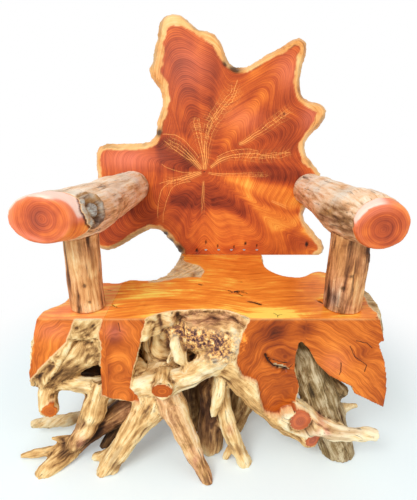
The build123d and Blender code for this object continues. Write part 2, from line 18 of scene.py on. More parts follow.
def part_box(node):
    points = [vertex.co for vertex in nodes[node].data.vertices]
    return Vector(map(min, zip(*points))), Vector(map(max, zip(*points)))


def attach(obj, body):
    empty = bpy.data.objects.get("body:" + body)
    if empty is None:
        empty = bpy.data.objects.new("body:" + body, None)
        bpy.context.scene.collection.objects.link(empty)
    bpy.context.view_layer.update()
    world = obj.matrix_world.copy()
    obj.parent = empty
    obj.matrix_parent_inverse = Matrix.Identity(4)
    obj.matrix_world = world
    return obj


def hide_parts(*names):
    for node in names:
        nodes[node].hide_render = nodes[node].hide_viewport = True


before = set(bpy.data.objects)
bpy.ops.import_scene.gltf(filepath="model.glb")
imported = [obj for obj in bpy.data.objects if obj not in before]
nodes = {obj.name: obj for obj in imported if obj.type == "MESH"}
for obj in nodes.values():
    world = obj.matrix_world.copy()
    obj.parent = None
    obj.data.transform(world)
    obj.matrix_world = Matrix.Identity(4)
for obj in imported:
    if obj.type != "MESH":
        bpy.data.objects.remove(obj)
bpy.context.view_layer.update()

# %% [markdown]
# Places on the chair are easiest to read as a maker measures them: in millimetres from the middle
# of the seat, back from the sawn front, and up from the floor. Two helpers turn them into the
# frame's metres and back. Their zero comes from the seat itself, so it follows the model.

# %% Measure from the seat
SEAM_X = -262.0
SEAT_HEIGHT = 430
SEAT_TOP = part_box("seat_block")[1].z
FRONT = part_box("seat_block")[0].y
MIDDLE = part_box("seat_block")[0].x - SEAM_X / 1000


def at(x, y, z):
    """A place in metres from millimetres across, back and up."""
    return Vector((MIDDLE + x / 1000, FRONT + y / 1000, z / 1000))


def measured(places):
    """Places in metres as millimetres across, back and up."""
    return (np.array(places) - [MIDDLE, FRONT, 0]) * 1000


print("seat top", round(SEAT_TOP, 4), "front", round(FRONT, 4), "middle", round(MIDDLE, 4))

# %% [markdown]
# The camera stands a little above the arms and looks down at the seat. Its place was worked out
# from the photograph: upright posts, level arms and the seat's depth agree only from there.

# %% Camera
LOOKING_DOWN = 18.7
camera_data = bpy.data.cameras.new("camera")
camera_data.sensor_fit = "VERTICAL"
camera_data.sensor_height = 36.0
camera_data.lens = 27.2
camera = bpy.data.objects.new("camera", camera_data)
camera.location = at(0, -840, 896)
camera.rotation_euler = (math.radians(90 - LOOKING_DOWN), 0, 0)
bpy.context.scene.collection.objects.link(camera)
bpy.context.scene.camera = camera
print("camera", [round(v, 3) for v in camera.location])

# %% [markdown]
# A material is easier to read when each line is one step. This small class adds a node, feeds its
# inputs and hands back its output, so a finish can be written almost like a sentence.

# %% A short way to write a finish


class Finish:
    """A material in the making, with short ways to add its nodes."""

    def __init__(self, name, **sockets):
        self.material = bpy.data.materials.new(name)
        self.material.use_nodes = True
        self.tree = self.material.node_tree
        self.shader = self.tree.nodes["Principled BSDF"]
        for socket, value in sockets.items():
            self.shader.inputs[socket.replace("_", " ")].default_value = value

    def add(self, kind, inputs, output=0, **settings):
        node = self.tree.nodes.new(kind)
        for name, value in settings.items():
            setattr(node, name, value)
        for key, value in inputs.items():
            if isinstance(value, bpy.types.NodeSocket):
                self.tree.links.new(value, node.inputs[key])
            else:
                node.inputs[key].default_value = value
        return node.outputs[output]

    def read(self, name):
        """Three numbers that the skin carries under this name."""
        return self.add("ShaderNodeAttribute", {}, "Vector", attribute_name=name)

    def parts(self, vector):
        split = self.tree.nodes.new("ShaderNodeSeparateXYZ")
        self.tree.links.new(vector, split.inputs[0])
        return split.outputs

    def maths(self, what, one, other=0.0, third=0.0, clamp=False):
        return self.add("ShaderNodeMath", {0: one, 1: other, 2: third}, operation=what, use_clamp=clamp)

    def times(self, one, other, clamp=False):
        return self.maths("MULTIPLY", one, other, clamp=clamp)

    def times_plus(self, one, other, third):
        return self.maths("MULTIPLY_ADD", one, other, third)

    def swing(self, value, strength, base):
        """Noise taken about its middle, so that it adds as much as it takes away."""
        return self.maths("MULTIPLY_ADD", self.maths("SUBTRACT", value, 0.5), strength, base)

    def scaled(self, vector, x, y, z):
        return self.add("ShaderNodeVectorMath", {0: vector, 1: (x, y, z)}, operation="MULTIPLY")

    def noise(self, vector, scale, detail=3.0, roughness=0.55, distortion=0.0):
        inputs = {"Vector": vector, "Scale": scale, "Detail": detail, "Roughness": roughness}
        return self.add("ShaderNodeTexNoise", {**inputs, "Distortion": distortion})

    def ramp(self, value, stops):
        """A value turned into the colours of a table."""
        node = self.tree.nodes.new("ShaderNodeValToRGB")
        self.tree.links.new(value, node.inputs[0])
        ends = node.color_ramp.elements
        for _ in stops[2:]:
            ends.new(0.5)
        for end, (place, colour) in zip(ends, stops):
            end.position = place
            end.color = (*colour, 1.0)
        return node.outputs[0]

    def step(self, value, low, high):
        """0 below low and 1 above high, with a smooth slope between."""
        inputs = {0: value, 1: low, 2: high, 3: 0.0, 4: 1.0}
        return self.add("ShaderNodeMapRange", inputs, interpolation_type="SMOOTHSTEP")

    def below(self, value, low, high):
        """1 below low and 0 above high."""
        return self.maths("SUBTRACT", 1.0, self.step(value, low, high))

    def mix(self, share, one, other):
        """One colour turned into another by a share."""
        one, other = [c if isinstance(c, bpy.types.NodeSocket) else (*c, 1.0) for c in (one, other)]
        return self.add("ShaderNodeMix", {0: share, 6: one, 7: other}, 2, data_type="RGBA")

    def blend(self, share, one, other):
        """One number turned into another by a share."""
        return self.add("ShaderNodeMix", {0: share, 2: one, 3: other}, 0, data_type="FLOAT")

    def bump(self, height, strength, distance):
        inputs = {"Height": height, "Strength": strength, "Distance": distance}
        normal = self.add("ShaderNodeBump", inputs)
        self.tree.links.new(normal, self.shader.inputs["Normal"])

    def use(self, socket, value):
        self.tree.links.new(value, self.shader.inputs[socket])


print("finish helper ready")

# %% [markdown]
# The colours run from dark to bright in each table. Heartwood is red, the seat is more golden, and
# wood that was never sawn goes from olive brown to cream. Grey and pitted wood are stains, and the
# dark table serves both dark stains and painted shade.

# %% The wood's colours
HEARTWOOD = [
    (0.00, (0.085, 0.012, 0.006)),
    (0.22, (0.280, 0.038, 0.012)),
    (0.45, (0.520, 0.084, 0.018)),
    (0.66, (0.760, 0.170, 0.026)),
    (0.84, (0.930, 0.290, 0.042)),
    (1.00, (0.975, 0.500, 0.085)),
]
SEAT_WOOD = [
    (0.00, (0.085, 0.014, 0.003)),
    (0.22, (0.270, 0.042, 0.005)),
    (0.45, (0.500, 0.098, 0.008)),
    (0.66, (0.745, 0.186, 0.020)),
    (0.84, (0.925, 0.285, 0.036)),
    (0.94, (0.965, 0.420, 0.055)),
    (1.00, (0.990, 0.720, 0.130)),
]
ROUGH_WOOD = [
    (0.00, (0.070, 0.030, 0.010)),
    (0.20, (0.230, 0.105, 0.032)),
    (0.42, (0.540, 0.290, 0.100)),
    (0.64, (0.800, 0.500, 0.200)),
    (0.84, (0.930, 0.700, 0.350)),
    (1.00, (0.975, 0.850, 0.560)),
]
LOG_WOOD = [
    (0.00, (0.060, 0.026, 0.012)),
    (0.20, (0.250, 0.100, 0.040)),
    (0.42, (0.560, 0.270, 0.110)),
    (0.64, (0.800, 0.450, 0.220)),
    (0.84, (0.920, 0.640, 0.400)),
    (1.00, (0.975, 0.830, 0.650)),
]
POST_WOOD = [
    (0.00, (0.040, 0.014, 0.007)),
    (0.20, (0.190, 0.066, 0.022)),
    (0.42, (0.500, 0.200, 0.062)),
    (0.64, (0.740, 0.350, 0.125)),
    (0.84, (0.900, 0.550, 0.240)),
    (1.00, (0.960, 0.750, 0.420)),
]
GREY_WOOD = [(0.0, (0.040, 0.026, 0.010)), (0.45, (0.270, 0.180, 0.075)), (1.0, (0.700, 0.580, 0.380))]
COOL_GREY = [(0.0, (0.025, 0.016, 0.014)), (0.45, (0.250, 0.170, 0.130)), (1.0, (0.560, 0.560, 0.500))]
# The dark wood colours serve dark stains and also painted shade on rough wood.
DARK_WOOD_AND_SHADE = [(0.0, (0.018, 0.007, 0.003)), (0.45, (0.140, 0.058, 0.024)), (1.0, (0.520, 0.270, 0.100))]
PITTED_BARK = [
    (0.00, (0.060, 0.022, 0.022)),
    (0.26, (0.240, 0.110, 0.080)),
    (0.50, (0.640, 0.290, 0.090)),
    (0.78, (0.920, 0.560, 0.190)),
    (1.00, (0.970, 0.780, 0.420)),
]
SAPWOOD = [
    (0.50, (0.400, 0.130, 0.035)),
    (0.64, (0.800, 0.350, 0.100)),
    (0.82, (0.930, 0.540, 0.210)),
    (1.00, (0.980, 0.660, 0.320)),
]
RED_STAIN = [(0.1, (0.230, 0.070, 0.040)), (0.6, (0.720, 0.310, 0.190)), (1.0, (0.930, 0.600, 0.430))]
PINK = (0.860, 0.235, 0.140)
PALE_PINK = (0.965, 0.660, 0.540)
GOLD = (0.985, 0.430, 0.110)
LIP_SAPWOOD_AND_HIGHLIGHT = (0.950, 0.600, 0.290)
SPLIT_SHADE = (0.090, 0.040, 0.022)
PORE_SHADE = (0.130, 0.055, 0.026)
STAIN_SHADE = (0.030, 0.010, 0.006)
CRACK_SHADE = (0.030, 0.009, 0.005)
print("heartwood from", HEARTWOOD[0][1], "to", HEARTWOOD[-1][1])

# %% [markdown]
# Each skin carries numbers for its finish: where it was cut, how bright, pink, grey or dark it is,
# where its rings, feathers and cracks run, and its place along the grain. A wood finish reads them
# all, and has the slow noises that several of its parts share.

# %% What a wood finish reads


class WoodFinish(Finish):
    """A finish for grown wood, with the marks of the skin and the shared noises at hand."""

    def __init__(self, name):
        super().__init__(name, Roughness=0.34)
        self.shader.inputs["Specular IOR Level"].default_value = 0.18
        self.cut, self.tone, self.pink = self.parts(self.read("paint"))
        # The dark channel holds real stains and knots, and also painted shade in creases, recesses and
        # underneath.
        self.grey, self.dark, self.bark = self.parts(self.read("stain"))
        self.ring, self.feather, self.rim = self.parts(self.read("figure"))
        self.along, self.across, self.veined = self.parts(self.read("vein"))
        self.line_at, self.near_line, self.line_kind = self.parts(self.read("line"))
        self.grain = self.read("grain")
        self.place = self.add("ShaderNodeTexCoord", {}, "Object")
        slow = self.scaled(self.place, 5.0, 5.0, 5.0)
        x, _, z = self.parts(slow)
        self.wander = self.noise(slow, 1.6, 3.0, 0.6)
        self.ring_at = self.times_plus(self.wander, 2.6, self.ring)
        self.lines = self.add("ShaderNodeCombineXYZ", {0: self.ring_at, 1: x, 2: z})
        self.cloud = self.noise(self.place, 9.0, 5.0, 0.6, 0.6)
        self.flames = self.noise(self.lines, 5.2, 2.0, 0.7)
        self.specks = self.noise(self.place, 170.0, 3.0, 0.7)


print("marks: paint, stain, figure, vein, line and grain")

# %% [markdown]
# Wood that was sawn and polished shows its growth rings. A measured coordinate counts the rings,
# so the lines follow the real shape of the cut, broad and fine ones together. Clouds and flames
# vary the shade, and a pink bloom lies where young wood is near.

# %% Polished wood
FULL_TURN = 6.2832


def polished_wood(finish, colours, ring_contrast, flame_contrast):
    """The colour of polished wood, and its rings from dark to bright."""
    broad = finish.noise(finish.lines, 0.55, 2.0, 0.7)
    wave = finish.maths("SINE", finish.times(finish.ring_at, FULL_TURN))
    fine = finish.noise(finish.lines, 3.1, 2.0, 0.6)
    both = finish.times_plus(fine, 0.42, finish.times(broad, 0.70))
    rings = finish.step(finish.times_plus(wave, 0.075, both), 0.34, 0.80)
    wisps = finish.noise(finish.scaled(finish.lines, 0.35, 1.0, 1.0), 1.3, 5.0, 0.65, 0.8)
    shade = finish.swing(rings, ring_contrast, 0.44)
    shade = finish.swing(finish.cloud, 0.60, shade)
    shade = finish.swing(wisps, flame_contrast, shade)
    shade = finish.times_plus(finish.tone, 0.42, shade)
    bloom = finish.mix(finish.step(finish.pink, 1.1, 1.9), PINK, PALE_PINK)
    pinkish = finish.times(finish.pink, finish.blend(rings, 0.45, 0.95), clamp=True)
    return finish.mix(pinkish, finish.ramp(shade, colours), bloom), rings


print("polished wood ready")

# %% [markdown]
# Golden threads fan out from the pith of the slab. They are whole near it and break up further
# out, where cross lines join them. Their distance from the drawn feather decides where they run.

# %% Golden figure


def golden_threads(finish):
    """How golden the wood is inside the feathers."""
    gap = finish.times_plus(finish.along, 0.055, 4.2)
    sway = finish.swing(finish.noise(finish.place, 17.0, 3.0, 0.6), 1.9, 0.0)
    threads = finish.maths("FRACT", finish.maths("ADD", finish.maths("DIVIDE", finish.across, gap), sway))
    threads = finish.times(finish.maths("ABSOLUTE", finish.maths("SUBTRACT", threads, 0.5)), gap)
    whole = finish.below(finish.along, 40.0, 120.0)
    unbroken = finish.maths("MAXIMUM", whole, finish.step(finish.flames, 0.42, 0.54))
    threads = finish.times(finish.below(threads, 0.40, 1.35), unbroken)
    rung_at = finish.times_plus(finish.wander, 2.0, finish.times(finish.along, 0.21))
    rung_at = finish.add("ShaderNodeCombineXYZ", {0: rung_at, 1: finish.times(finish.across, 0.05)})
    rungs = finish.maths("SUBTRACT", finish.noise(rung_at, 1.0, 2.0, 0.6), 0.5)
    rungs = finish.below(finish.maths("ABSOLUTE", rungs), 0.015, 0.070)
    rungs = finish.times(rungs, finish.times(finish.step(finish.along, 60.0, 150.0), 0.45))
    rungs = finish.times(rungs, finish.step(finish.flames, 0.42, 0.56))
    near_pith = finish.times(finish.below(finish.along, 10.0, 110.0), 0.20)
    both_ways = finish.maths("MAXIMUM", finish.maths("MAXIMUM", threads, rungs), near_pith)
    return finish.times(finish.times(finish.feather, finish.veined), both_ways, clamp=True)


def drawn_line(finish):
    """A thin shaky line along each drawn route: a golden vein or a dark crack."""
    shaky = finish.swing(finish.noise(finish.place, 22.0, 2.0, 0.5), 9.0, finish.line_at)
    thin = finish.below(finish.maths("ABSOLUTE", shaky), 0.3, 1.5)
    return finish.times(thin, finish.near_line, clamp=True)


def figured_wood(finish, heart, drawn):
    """Polished wood with its golden threads and veins, and with sapwood along its rim."""
    heart = finish.mix(golden_threads(finish), heart, GOLD)
    sap_lines = finish.noise(finish.lines, 1.7, 3.0, 0.6)
    sap_shade = finish.times_plus(finish.cloud, 0.9, finish.times(sap_lines, 0.55))
    # On the stump this rim channel carries the painted highlight along the seat's front edge, in sapwood
    # colours.
    heart = finish.mix(finish.rim, heart, finish.ramp(sap_shade, SAPWOOD))
    broken = finish.blend(finish.step(finish.flames, 0.35, 0.62), 0.15, 1.0)
    vein = finish.times(finish.times(drawn, finish.line_kind), broken, clamp=True)
    return finish.mix(vein, heart, GOLD)


print("golden figure ready")

# %% [markdown]
# Rough wood has fibres: noise that is stretched along the grain, with strands, splits and pores.
# Patches redden it, and each root can be grey or dark. Old bark wood breaks up into crumbs.

# %% Rough wood


def rough_wood(finish, colours, grey_colours, fibre_scale):
    """The colour of wood that grew as it is, and its relief."""

    def along_grain(squeeze, *noise):
        return finish.noise(finish.scaled(finish.grain, squeeze, 1.0, 1.0), *noise)

    fibres = along_grain(0.10, fibre_scale, 6.0, 0.72, 0.4)
    strands = along_grain(0.07, fibre_scale * 0.32, 4.0, 0.6, 0.5)
    splits = along_grain(0.055, fibre_scale * 0.62, 3.0, 0.55, 0.9)
    pores = along_grain(0.30, 330.0, 3.0, 0.6)
    patches = finish.noise(finish.place, 14.0, 4.0, 0.6, 0.8)
    height = finish.times_plus(fibres, 0.62, finish.times(strands, 0.80))
    height = finish.times_plus(patches, 0.50, height)
    height = finish.times_plus(finish.tone, 0.30, height)
    shade = finish.step(height, 0.55, 1.30)
    redder = finish.times(finish.pink, finish.step(patches, 0.30, 0.70), clamp=True)
    colour = finish.mix(redder, finish.ramp(shade, colours), finish.ramp(shade, RED_STAIN))
    weathered = finish.step(height, 0.66, 1.20)
    weathered = finish.times_plus(finish.maths("SUBTRACT", fibres, strands), 0.9, weathered)
    colour = finish.mix(finish.grey, colour, finish.ramp(weathered, grey_colours))
    colour = finish.mix(finish.dark, colour, finish.ramp(shade, DARK_WOOD_AND_SHADE))
    split = finish.times(finish.below(splits, 0.30, 0.41), finish.step(patches, 0.36, 0.58))
    colour = finish.mix(finish.times(split, 0.80), colour, SPLIT_SHADE)
    pores = finish.times(finish.step(pores, 0.60, 0.70), finish.step(patches, 0.40, 0.62))
    colour = finish.mix(finish.times(pores, 0.60), colour, PORE_SHADE)
    crumbs = finish.times_plus(finish.specks, 0.5, finish.noise(finish.place, 75.0, 3.0, 0.65))
    colour = finish.mix(finish.bark, colour, finish.ramp(finish.step(crumbs, 0.56, 0.98), PITTED_BARK))
    relief = finish.maths("ADD", finish.times(fibres, 0.7), finish.times(finish.specks, 0.3))
    relief = finish.times_plus(split, -0.55, relief)
    return colour, finish.times_plus(crumbs, finish.bark, relief)


print("rough wood ready")

# %% [markdown]
# One finish covers a whole piece, because polished and rough wood meet on it along a ragged line
# with a bright lip, partly light sapwood and partly a painted highlight on the rounded edge. Slab,
# stump, arms and posts differ in their colours, in how strong the rings and flames are, and in how
# fine their fibres are.

# %% Four wood finishes
LACQUER_BUMP = 0.04
BUMP_HEIGHT = 0.0026


def wood(name, heart_colours, rough_colours, grey_colours, ring_contrast, flame_contrast, fibre_scale=130.0):
    """One finish for a whole piece: polished where it was cut, fibrous where it grew."""
    finish = WoodFinish(name)
    drawn = drawn_line(finish)
    heart, rings = polished_wood(finish, heart_colours, ring_contrast, flame_contrast)
    heart = figured_wood(finish, heart, drawn)
    fibre, relief = rough_wood(finish, rough_colours, grey_colours, fibre_scale)
    polished = finish.step(finish.swing(finish.specks, 0.5, finish.cut), 0.38, 0.62)
    colour = finish.mix(polished, fibre, heart)
    # The bright lip: partly light sapwood, partly a painted highlight on the rounded edge.
    lip_sapwood_and_highlight = finish.maths("SUBTRACT", finish.step(finish.cut, 0.12, 0.42), finish.step(finish.cut, 0.48, 0.78))
    colour = finish.mix(finish.times(lip_sapwood_and_highlight, 0.75, clamp=True), colour, LIP_SAPWOOD_AND_HIGHLIGHT)
    colour = finish.mix(finish.times(finish.dark, polished, clamp=True), colour, STAIN_SHADE)
    crack = finish.times(drawn, finish.maths("SUBTRACT", 1.0, finish.line_kind), clamp=True)
    finish.use("Base Color", finish.mix(crack, colour, CRACK_SHADE))
    finish.use("Roughness", finish.blend(polished, 0.64, finish.blend(rings, 0.34, 0.28)))
    finish.bump(finish.blend(polished, relief, finish.times(rings, LACQUER_BUMP)), 0.9, BUMP_HEIGHT)
    return finish.material


finishes = {
    "slab": wood("slab_wood_finish", HEARTWOOD, ROUGH_WOOD, GREY_WOOD, 0.25, 0.42),
    "stump": wood("stump_wood_finish", SEAT_WOOD, ROUGH_WOOD, GREY_WOOD, 0.12, 1.05),
    "arms": wood("arm_wood_finish", HEARTWOOD, LOG_WOOD, COOL_GREY, 0.13, 0.8, 150.0),
    "posts": wood("post_wood_finish", HEARTWOOD, POST_WOOD, COOL_GREY, 0.22, 0.6, 150.0),
}
print("finishes", sorted(finishes))

# %% [markdown]
# Grown wood has no straight lines, so each main piece gets a skin. Copies of its solids are joined
# and wrapped in one even net of small squares, which a voxel remesh makes. The net can then be
# pushed and pulled like clay, and the frame's own meshes stay as they are. Crumbs that the remesh
# leaves beside the main body are dropped.

# %% Wrap solids in a skin
SAME_POINT = 1e-6


def wrapped(name, members, voxel, turn=Matrix.Identity(4), lumps_inside=()):
    """One closed even skin over copies of CAD nodes and added lumps, made in a turned space."""
    gathered = bmesh.new()
    for member in members:
        copy = bmesh.new()
        copy.from_mesh(nodes[member].data)
        bmesh.ops.remove_doubles(copy, verts=copy.verts, dist=SAME_POINT)
        merged = bpy.data.meshes.new("merged")
        copy.to_mesh(merged)
        copy.free()
        gathered.from_mesh(merged)
        bpy.data.meshes.remove(merged)
    for middle, size in lumps_inside:
        shape = Matrix.Translation(at(*middle)) @ Matrix.Diagonal((*(v / 1000 for v in size), 1.0))
        bmesh.ops.create_icosphere(gathered, subdivisions=3, radius=1.0, matrix=shape)
    bmesh.ops.transform(gathered, matrix=turn, verts=gathered.verts)
    blank = bpy.data.meshes.new("blank")
    gathered.to_mesh(blank)
    gathered.free()
    holder = bpy.data.objects.new("blank", blank)
    bpy.context.scene.collection.objects.link(holder)
    remesh = holder.modifiers.new("skin", "REMESH")
    remesh.mode = "VOXEL"
    remesh.voxel_size = voxel
    depsgraph = bpy.context.evaluated_depsgraph_get()
    skin = bpy.data.meshes.new_from_object(holder.evaluated_get(depsgraph))
    bpy.data.objects.remove(holder)
    skin.name = name
    largest_only(skin)
    print(name, "skin", len(skin.vertices), "points")
    return skin


def largest_only(mesh):
    """Drops crumbs that a remesh leaves beside the main body."""
    links = edges_of(mesh)
    label = np.arange(len(mesh.vertices))
    while True:
        low = np.minimum(label[links[:, 0]], label[links[:, 1]])
        new = label.copy()
        np.minimum.at(new, links[:, 0], low)
        np.minimum.at(new, links[:, 1], low)
        new = new[new]
        if (new == label).all():
            break
        label = new
    keep = np.bincount(label).argmax()
    form = bmesh.new()
    form.from_mesh(mesh)
    form.verts.ensure_lookup_table()
    crumbs = [form.verts[i] for i in np.nonzero(label != keep)[0]]
    bmesh.ops.delete(form, geom=crumbs, context="VERTS")
    form.to_mesh(mesh)
    form.free()


def edges_of(mesh):
    """The two point numbers of each edge."""
    links = np.empty(len(mesh.edges) * 2, np.int32)
    mesh.edges.foreach_get("vertices", links)
    return links.reshape(-1, 2)


def points_of(mesh):
    """The places of all points, in metres."""
    points = np.empty(len(mesh.vertices) * 3, np.float64)
    mesh.vertices.foreach_get("co", points)
    return points.reshape(-1, 3)


def normals_of(mesh):
    """The way out of the skin at each point."""
    normals = np.empty(len(mesh.vertices) * 3, np.float64)
    mesh.vertices.foreach_get("normal", normals)
    return normals.reshape(-1, 3)


def reshape(mesh, points):
    """Moves all points of a skin to new places."""
    mesh.vertices.foreach_set("co", points.astype(np.float32).ravel())
    mesh.update()


print("skin helpers ready")

# %% [markdown]
# The carving works on all points of a skin at once. Two tools draw points or values towards their
# neighbours, which softens a form or blurs a mask. Two more make smooth noise that is the same in
# every run. The others find creases, fade from 0 to 1 without a step, or mark what lies near a
# value.

# %% Soft steps and noise


def relax(points, links, shares, rounds):
    """Points drawn towards the middle of their neighbours, each by its own share."""
    count = np.bincount(links.ravel(), minlength=len(points))[:, None]
    for _ in range(rounds):
        total = np.empty_like(points)
        for axis in range(3):
            total[:, axis] = np.bincount(links[:, 0], points[links[:, 1], axis], len(points))
            total[:, axis] += np.bincount(links[:, 1], points[links[:, 0], axis], len(points))
        points = points + (total / count - points) * shares[:, None]
    return points


def spread(values, links, rounds):
    """A mask blurred over the skin."""
    count = np.bincount(links.ravel(), minlength=len(values)) + 1
    for _ in range(rounds):
        total = np.bincount(links[:, 0], values[links[:, 1]], len(values))
        total += np.bincount(links[:, 1], values[links[:, 0]], len(values))
        values = (total + values) / count
    return values


def grid_noise(points, seed=0):
    """Smooth noise from -1 to 1, with a cell one unit wide."""
    cell = np.floor(points).astype(np.int64)
    part = points - cell
    part = part * part * (3 - 2 * part)
    total = np.zeros(len(points))
    for corner in range(8):
        step = np.array([corner & 1, corner >> 1 & 1, corner >> 2 & 1])
        mixed = ((cell + step) * [374761393, 668265263, 2246822519]).sum(1) + seed * 974711
        mixed = (mixed ^ (mixed >> 15)) * 1274126177 & 0xFFFFFFFF
        mixed = (mixed ^ (mixed >> 13)) * 668265263 & 0xFFFFFFFF
        value = ((mixed >> 8) & 0xFFFF) / 32767.5 - 1
        total += value * np.prod(np.where(step, part, 1 - part), axis=1)
    return total


def fractal(points, octaves, seed=0):
    """Layers of noise, each half as large and half as strong."""
    total = np.zeros(len(points))
    for octave in range(octaves):
        total += grid_noise(points * 2**octave + octave * 17.3, seed + octave) / 2**octave
    return total


def fade(values, low, high):
    """0 below low and 1 above high, with a smooth slope between."""
    share = np.clip((values - low) / (high - low), 0, 1)
    return share * share * (3 - 2 * share)


def creases(mesh, points, links, rounds):
    """How far each point lies under a softened copy of its skin, in millimetres."""
    softened = relax(points, links, np.full(len(points), 0.5), rounds)
    return ((softened - points) * normals_of(mesh)).sum(1) * 1000


def near(values, middle, width):
    """1 where a value is at its middle, and softly down to 0 over about two widths."""
    return np.exp(-(((values - middle) / width) ** 2))


def between(values, low, high):
    """Whether values lie between two limits."""
    return (values > low) & (values < high)


print("soft steps and noise ready")

# %% [markdown]
# Marks are drawn as a maker would draw them on the flat wood: as lines, outlines and soft oval
# patches, in millimetres. These tools say how far each point lies from a line and along it, on
# which side of it, whether it is inside an outline, and how strong the patches are there.

# %% Drawn lines, outlines and patches
NO_LINE = 50.0


def from_line(points, route):
    """How far each point is from a drawn line, and how far along the line its nearest place is."""
    route = np.array(route, float)
    best = np.full(len(points), np.inf)
    along = np.zeros(len(points))
    walked = 0.0
    for start, end in zip(route[:-1], route[1:]):
        step = end - start
        length = np.linalg.norm(step)
        share = np.clip((points - start) @ step / length**2, 0, 1)
        distance = np.linalg.norm(points - start - share[:, None] * step, axis=1)
        nearer = distance < best
        best[nearer] = distance[nearer]
        along[nearer] = walked + share[nearer] * length
        walked += length
    return best, along


def curved(route, steps=5):
    """A drawn line with its corners rounded, by a spline through its points."""
    route = np.array(route, float)
    held = np.vstack([2 * route[0] - route[1], route, 2 * route[-1] - route[-2]])
    share = np.linspace(0, 1, steps, endpoint=False)[:, None]
    pieces = []
    for a, b, c, d in zip(held[:-3], held[1:-2], held[2:-1], held[3:]):
        bend = (2 * a - 5 * b + 4 * c - d) * share**2 + (3 * b - a - 3 * c + d) * share**3
        pieces.append(b + 0.5 * ((c - a) * share + bend))
    return np.vstack([*pieces, route[-1:]])


def drawn_lines(flat_points, routes, reach=6.0):
    """How far points lie to one side of the nearest drawn line, and whether they are close to it."""
    nearest = np.full(len(flat_points), np.inf)
    signed = np.full(len(flat_points), NO_LINE)
    for route in routes:
        route = np.array(route, float)
        for start, end in zip(route[:-1], route[1:]):
            step = (end - start) / np.linalg.norm(end - start)
            offset = flat_points - start
            share = offset @ step
            beyond = np.maximum(np.maximum(-share, share - np.linalg.norm(end - start)), 0)
            side_way = offset @ [-step[1], step[0]]
            distance = np.hypot(side_way, beyond * 3)
            nearer = distance < nearest
            nearest[nearer] = distance[nearer]
            signed[nearer] = side_way[nearer]
    return signed, 1 - fade(nearest, reach * 0.5, reach)


def inside(points, corners):
    """Whether flat points lie in a drawn outline."""
    corners = np.array(corners, float)
    within = np.zeros(len(points), bool)
    for (ax, ay), (bx, by) in zip(corners, np.roll(corners, -1, axis=0)):
        crosses = (ay > points[:, 1]) != (by > points[:, 1])
        rise = by - ay if by != ay else 1.0
        within ^= crosses & (points[:, 0] < (bx - ax) * (points[:, 1] - ay) / rise + ax)
    return within


def spot(flat_points, middle, size):
    """A soft oval patch: 1 in its middle, and softly down to 0."""
    return np.exp(-(((flat_points - middle) / size) ** 2).sum(1))


def blobs(flat_points, table):
    """The sum of soft oval patches: how strong, where, and how wide each way."""
    total = np.zeros(len(flat_points))
    for strength, middle, size in table:
        total += strength * spot(flat_points, middle, size)
    return total


print("drawing tools ready")

# %% [markdown]
# A finished skin keeps its marks as attributes, three numbers to each. Then it becomes a piece that
# rides on the chair's one body and stands for the nodes that it covers.

# %% Marks and pieces


def mark(mesh, **channels):
    """Keeps numbers for each point of the skin, three to an attribute, for the finish to read."""
    for name, values in channels.items():
        values = np.stack([np.broadcast_to(v, len(mesh.vertices)) for v in values], axis=1)
        attribute = mesh.attributes.new(name, "FLOAT_VECTOR", "POINT")
        attribute.data.foreach_set("vector", values.astype(np.float32).ravel())


def put(name, mesh, finish, slot, *replaced):
    """Makes a finished piece of a mesh: smooth, riding on the chair, standing for its nodes."""
    mesh.shade_smooth()
    piece = bpy.data.objects.new(name, mesh)
    bpy.context.scene.collection.objects.link(piece)
    mesh.materials.clear()
    mesh.materials.append(finish)
    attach(piece, "root")
    if replaced:
        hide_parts(*replaced)
    print(name, len(mesh.vertices), "points", len(mesh.polygons), "faces")


print("marks and pieces ready")

# %% [markdown]
# ## The back slab
# The back is one slice of a trunk whose roots had begun to flare, so its outline has deep bays.
# Rings follow the outline and pinch at each bay, where bright feathered figure runs from the
# pith to the bay. The slice leans back, so its skin is made upright, where the net lies flat on
# its faces, and is then leaned back again. A side point belongs to the live edge where few front
# points lie round it, as at a border. The sawn foot has no live edge.

# %% Slab skin
SLAB_VOXEL = 0.0040
SLAB_LEAN = math.radians(8.0)
SLAB_FOOT = (0, 480, SEAT_HEIGHT)
SAWN_FOOT_ENDS = (-92, 396)
SAWN_FOOT_HEIGHT = 11
LOOK_ROUND = 14.0
MANY_NEIGHBOURS = 27


def flat_tree(flat_points, chosen):
    """A tree that finds the chosen flat points again."""
    tree = KDTree(len(chosen))
    for index in chosen:
        tree.insert((*flat_points[index], 0.0), int(index))
    tree.balance()
    return tree


stand_up = Matrix.Rotation(SLAB_LEAN, 4, "X") @ Matrix.Translation(-at(*SLAB_FOOT))
slab = wrapped("back_slab_skin", ["back_slab"], SLAB_VOXEL, stand_up)
slab_points = points_of(slab) * 1000
slab_normals = normals_of(slab)
slab_flat = slab_points[:, [0, 2]]
flat = np.abs(slab_normals[:, 1]) > 0.9
side = ~flat
front_tree = flat_tree(slab_flat, np.nonzero(slab_normals[:, 1] < -0.9)[0])
grown_edge = []
for index in np.nonzero(side)[0]:
    x, up = slab_flat[index]
    sawn_foot = up < SAWN_FOOT_HEIGHT and SAWN_FOOT_ENDS[0] < x < SAWN_FOOT_ENDS[1]
    if not sawn_foot and len(front_tree.find_range((x, up, 0.0), LOOK_ROUND)) < MANY_NEIGHBOURS:
        grown_edge.append(index)
edge_tree = flat_tree(slab_flat, grown_edge)
from_edge = np.zeros(len(slab_flat))
for index in np.nonzero(flat)[0]:
    from_edge[index] = edge_tree.find((*slab_flat[index], 0.0))[2]
print("slab", slab_points.min(0).round(1), slab_points.max(0).round(1))

# %% [markdown]
# The ring coordinate is the share of the way from the pith to the edge, times the number of
# years. Close to the pith the rings are round, and further out they take the outline's shape.
# Towards the sawn foot the outline is missing, so a wavy reach stands in for it.

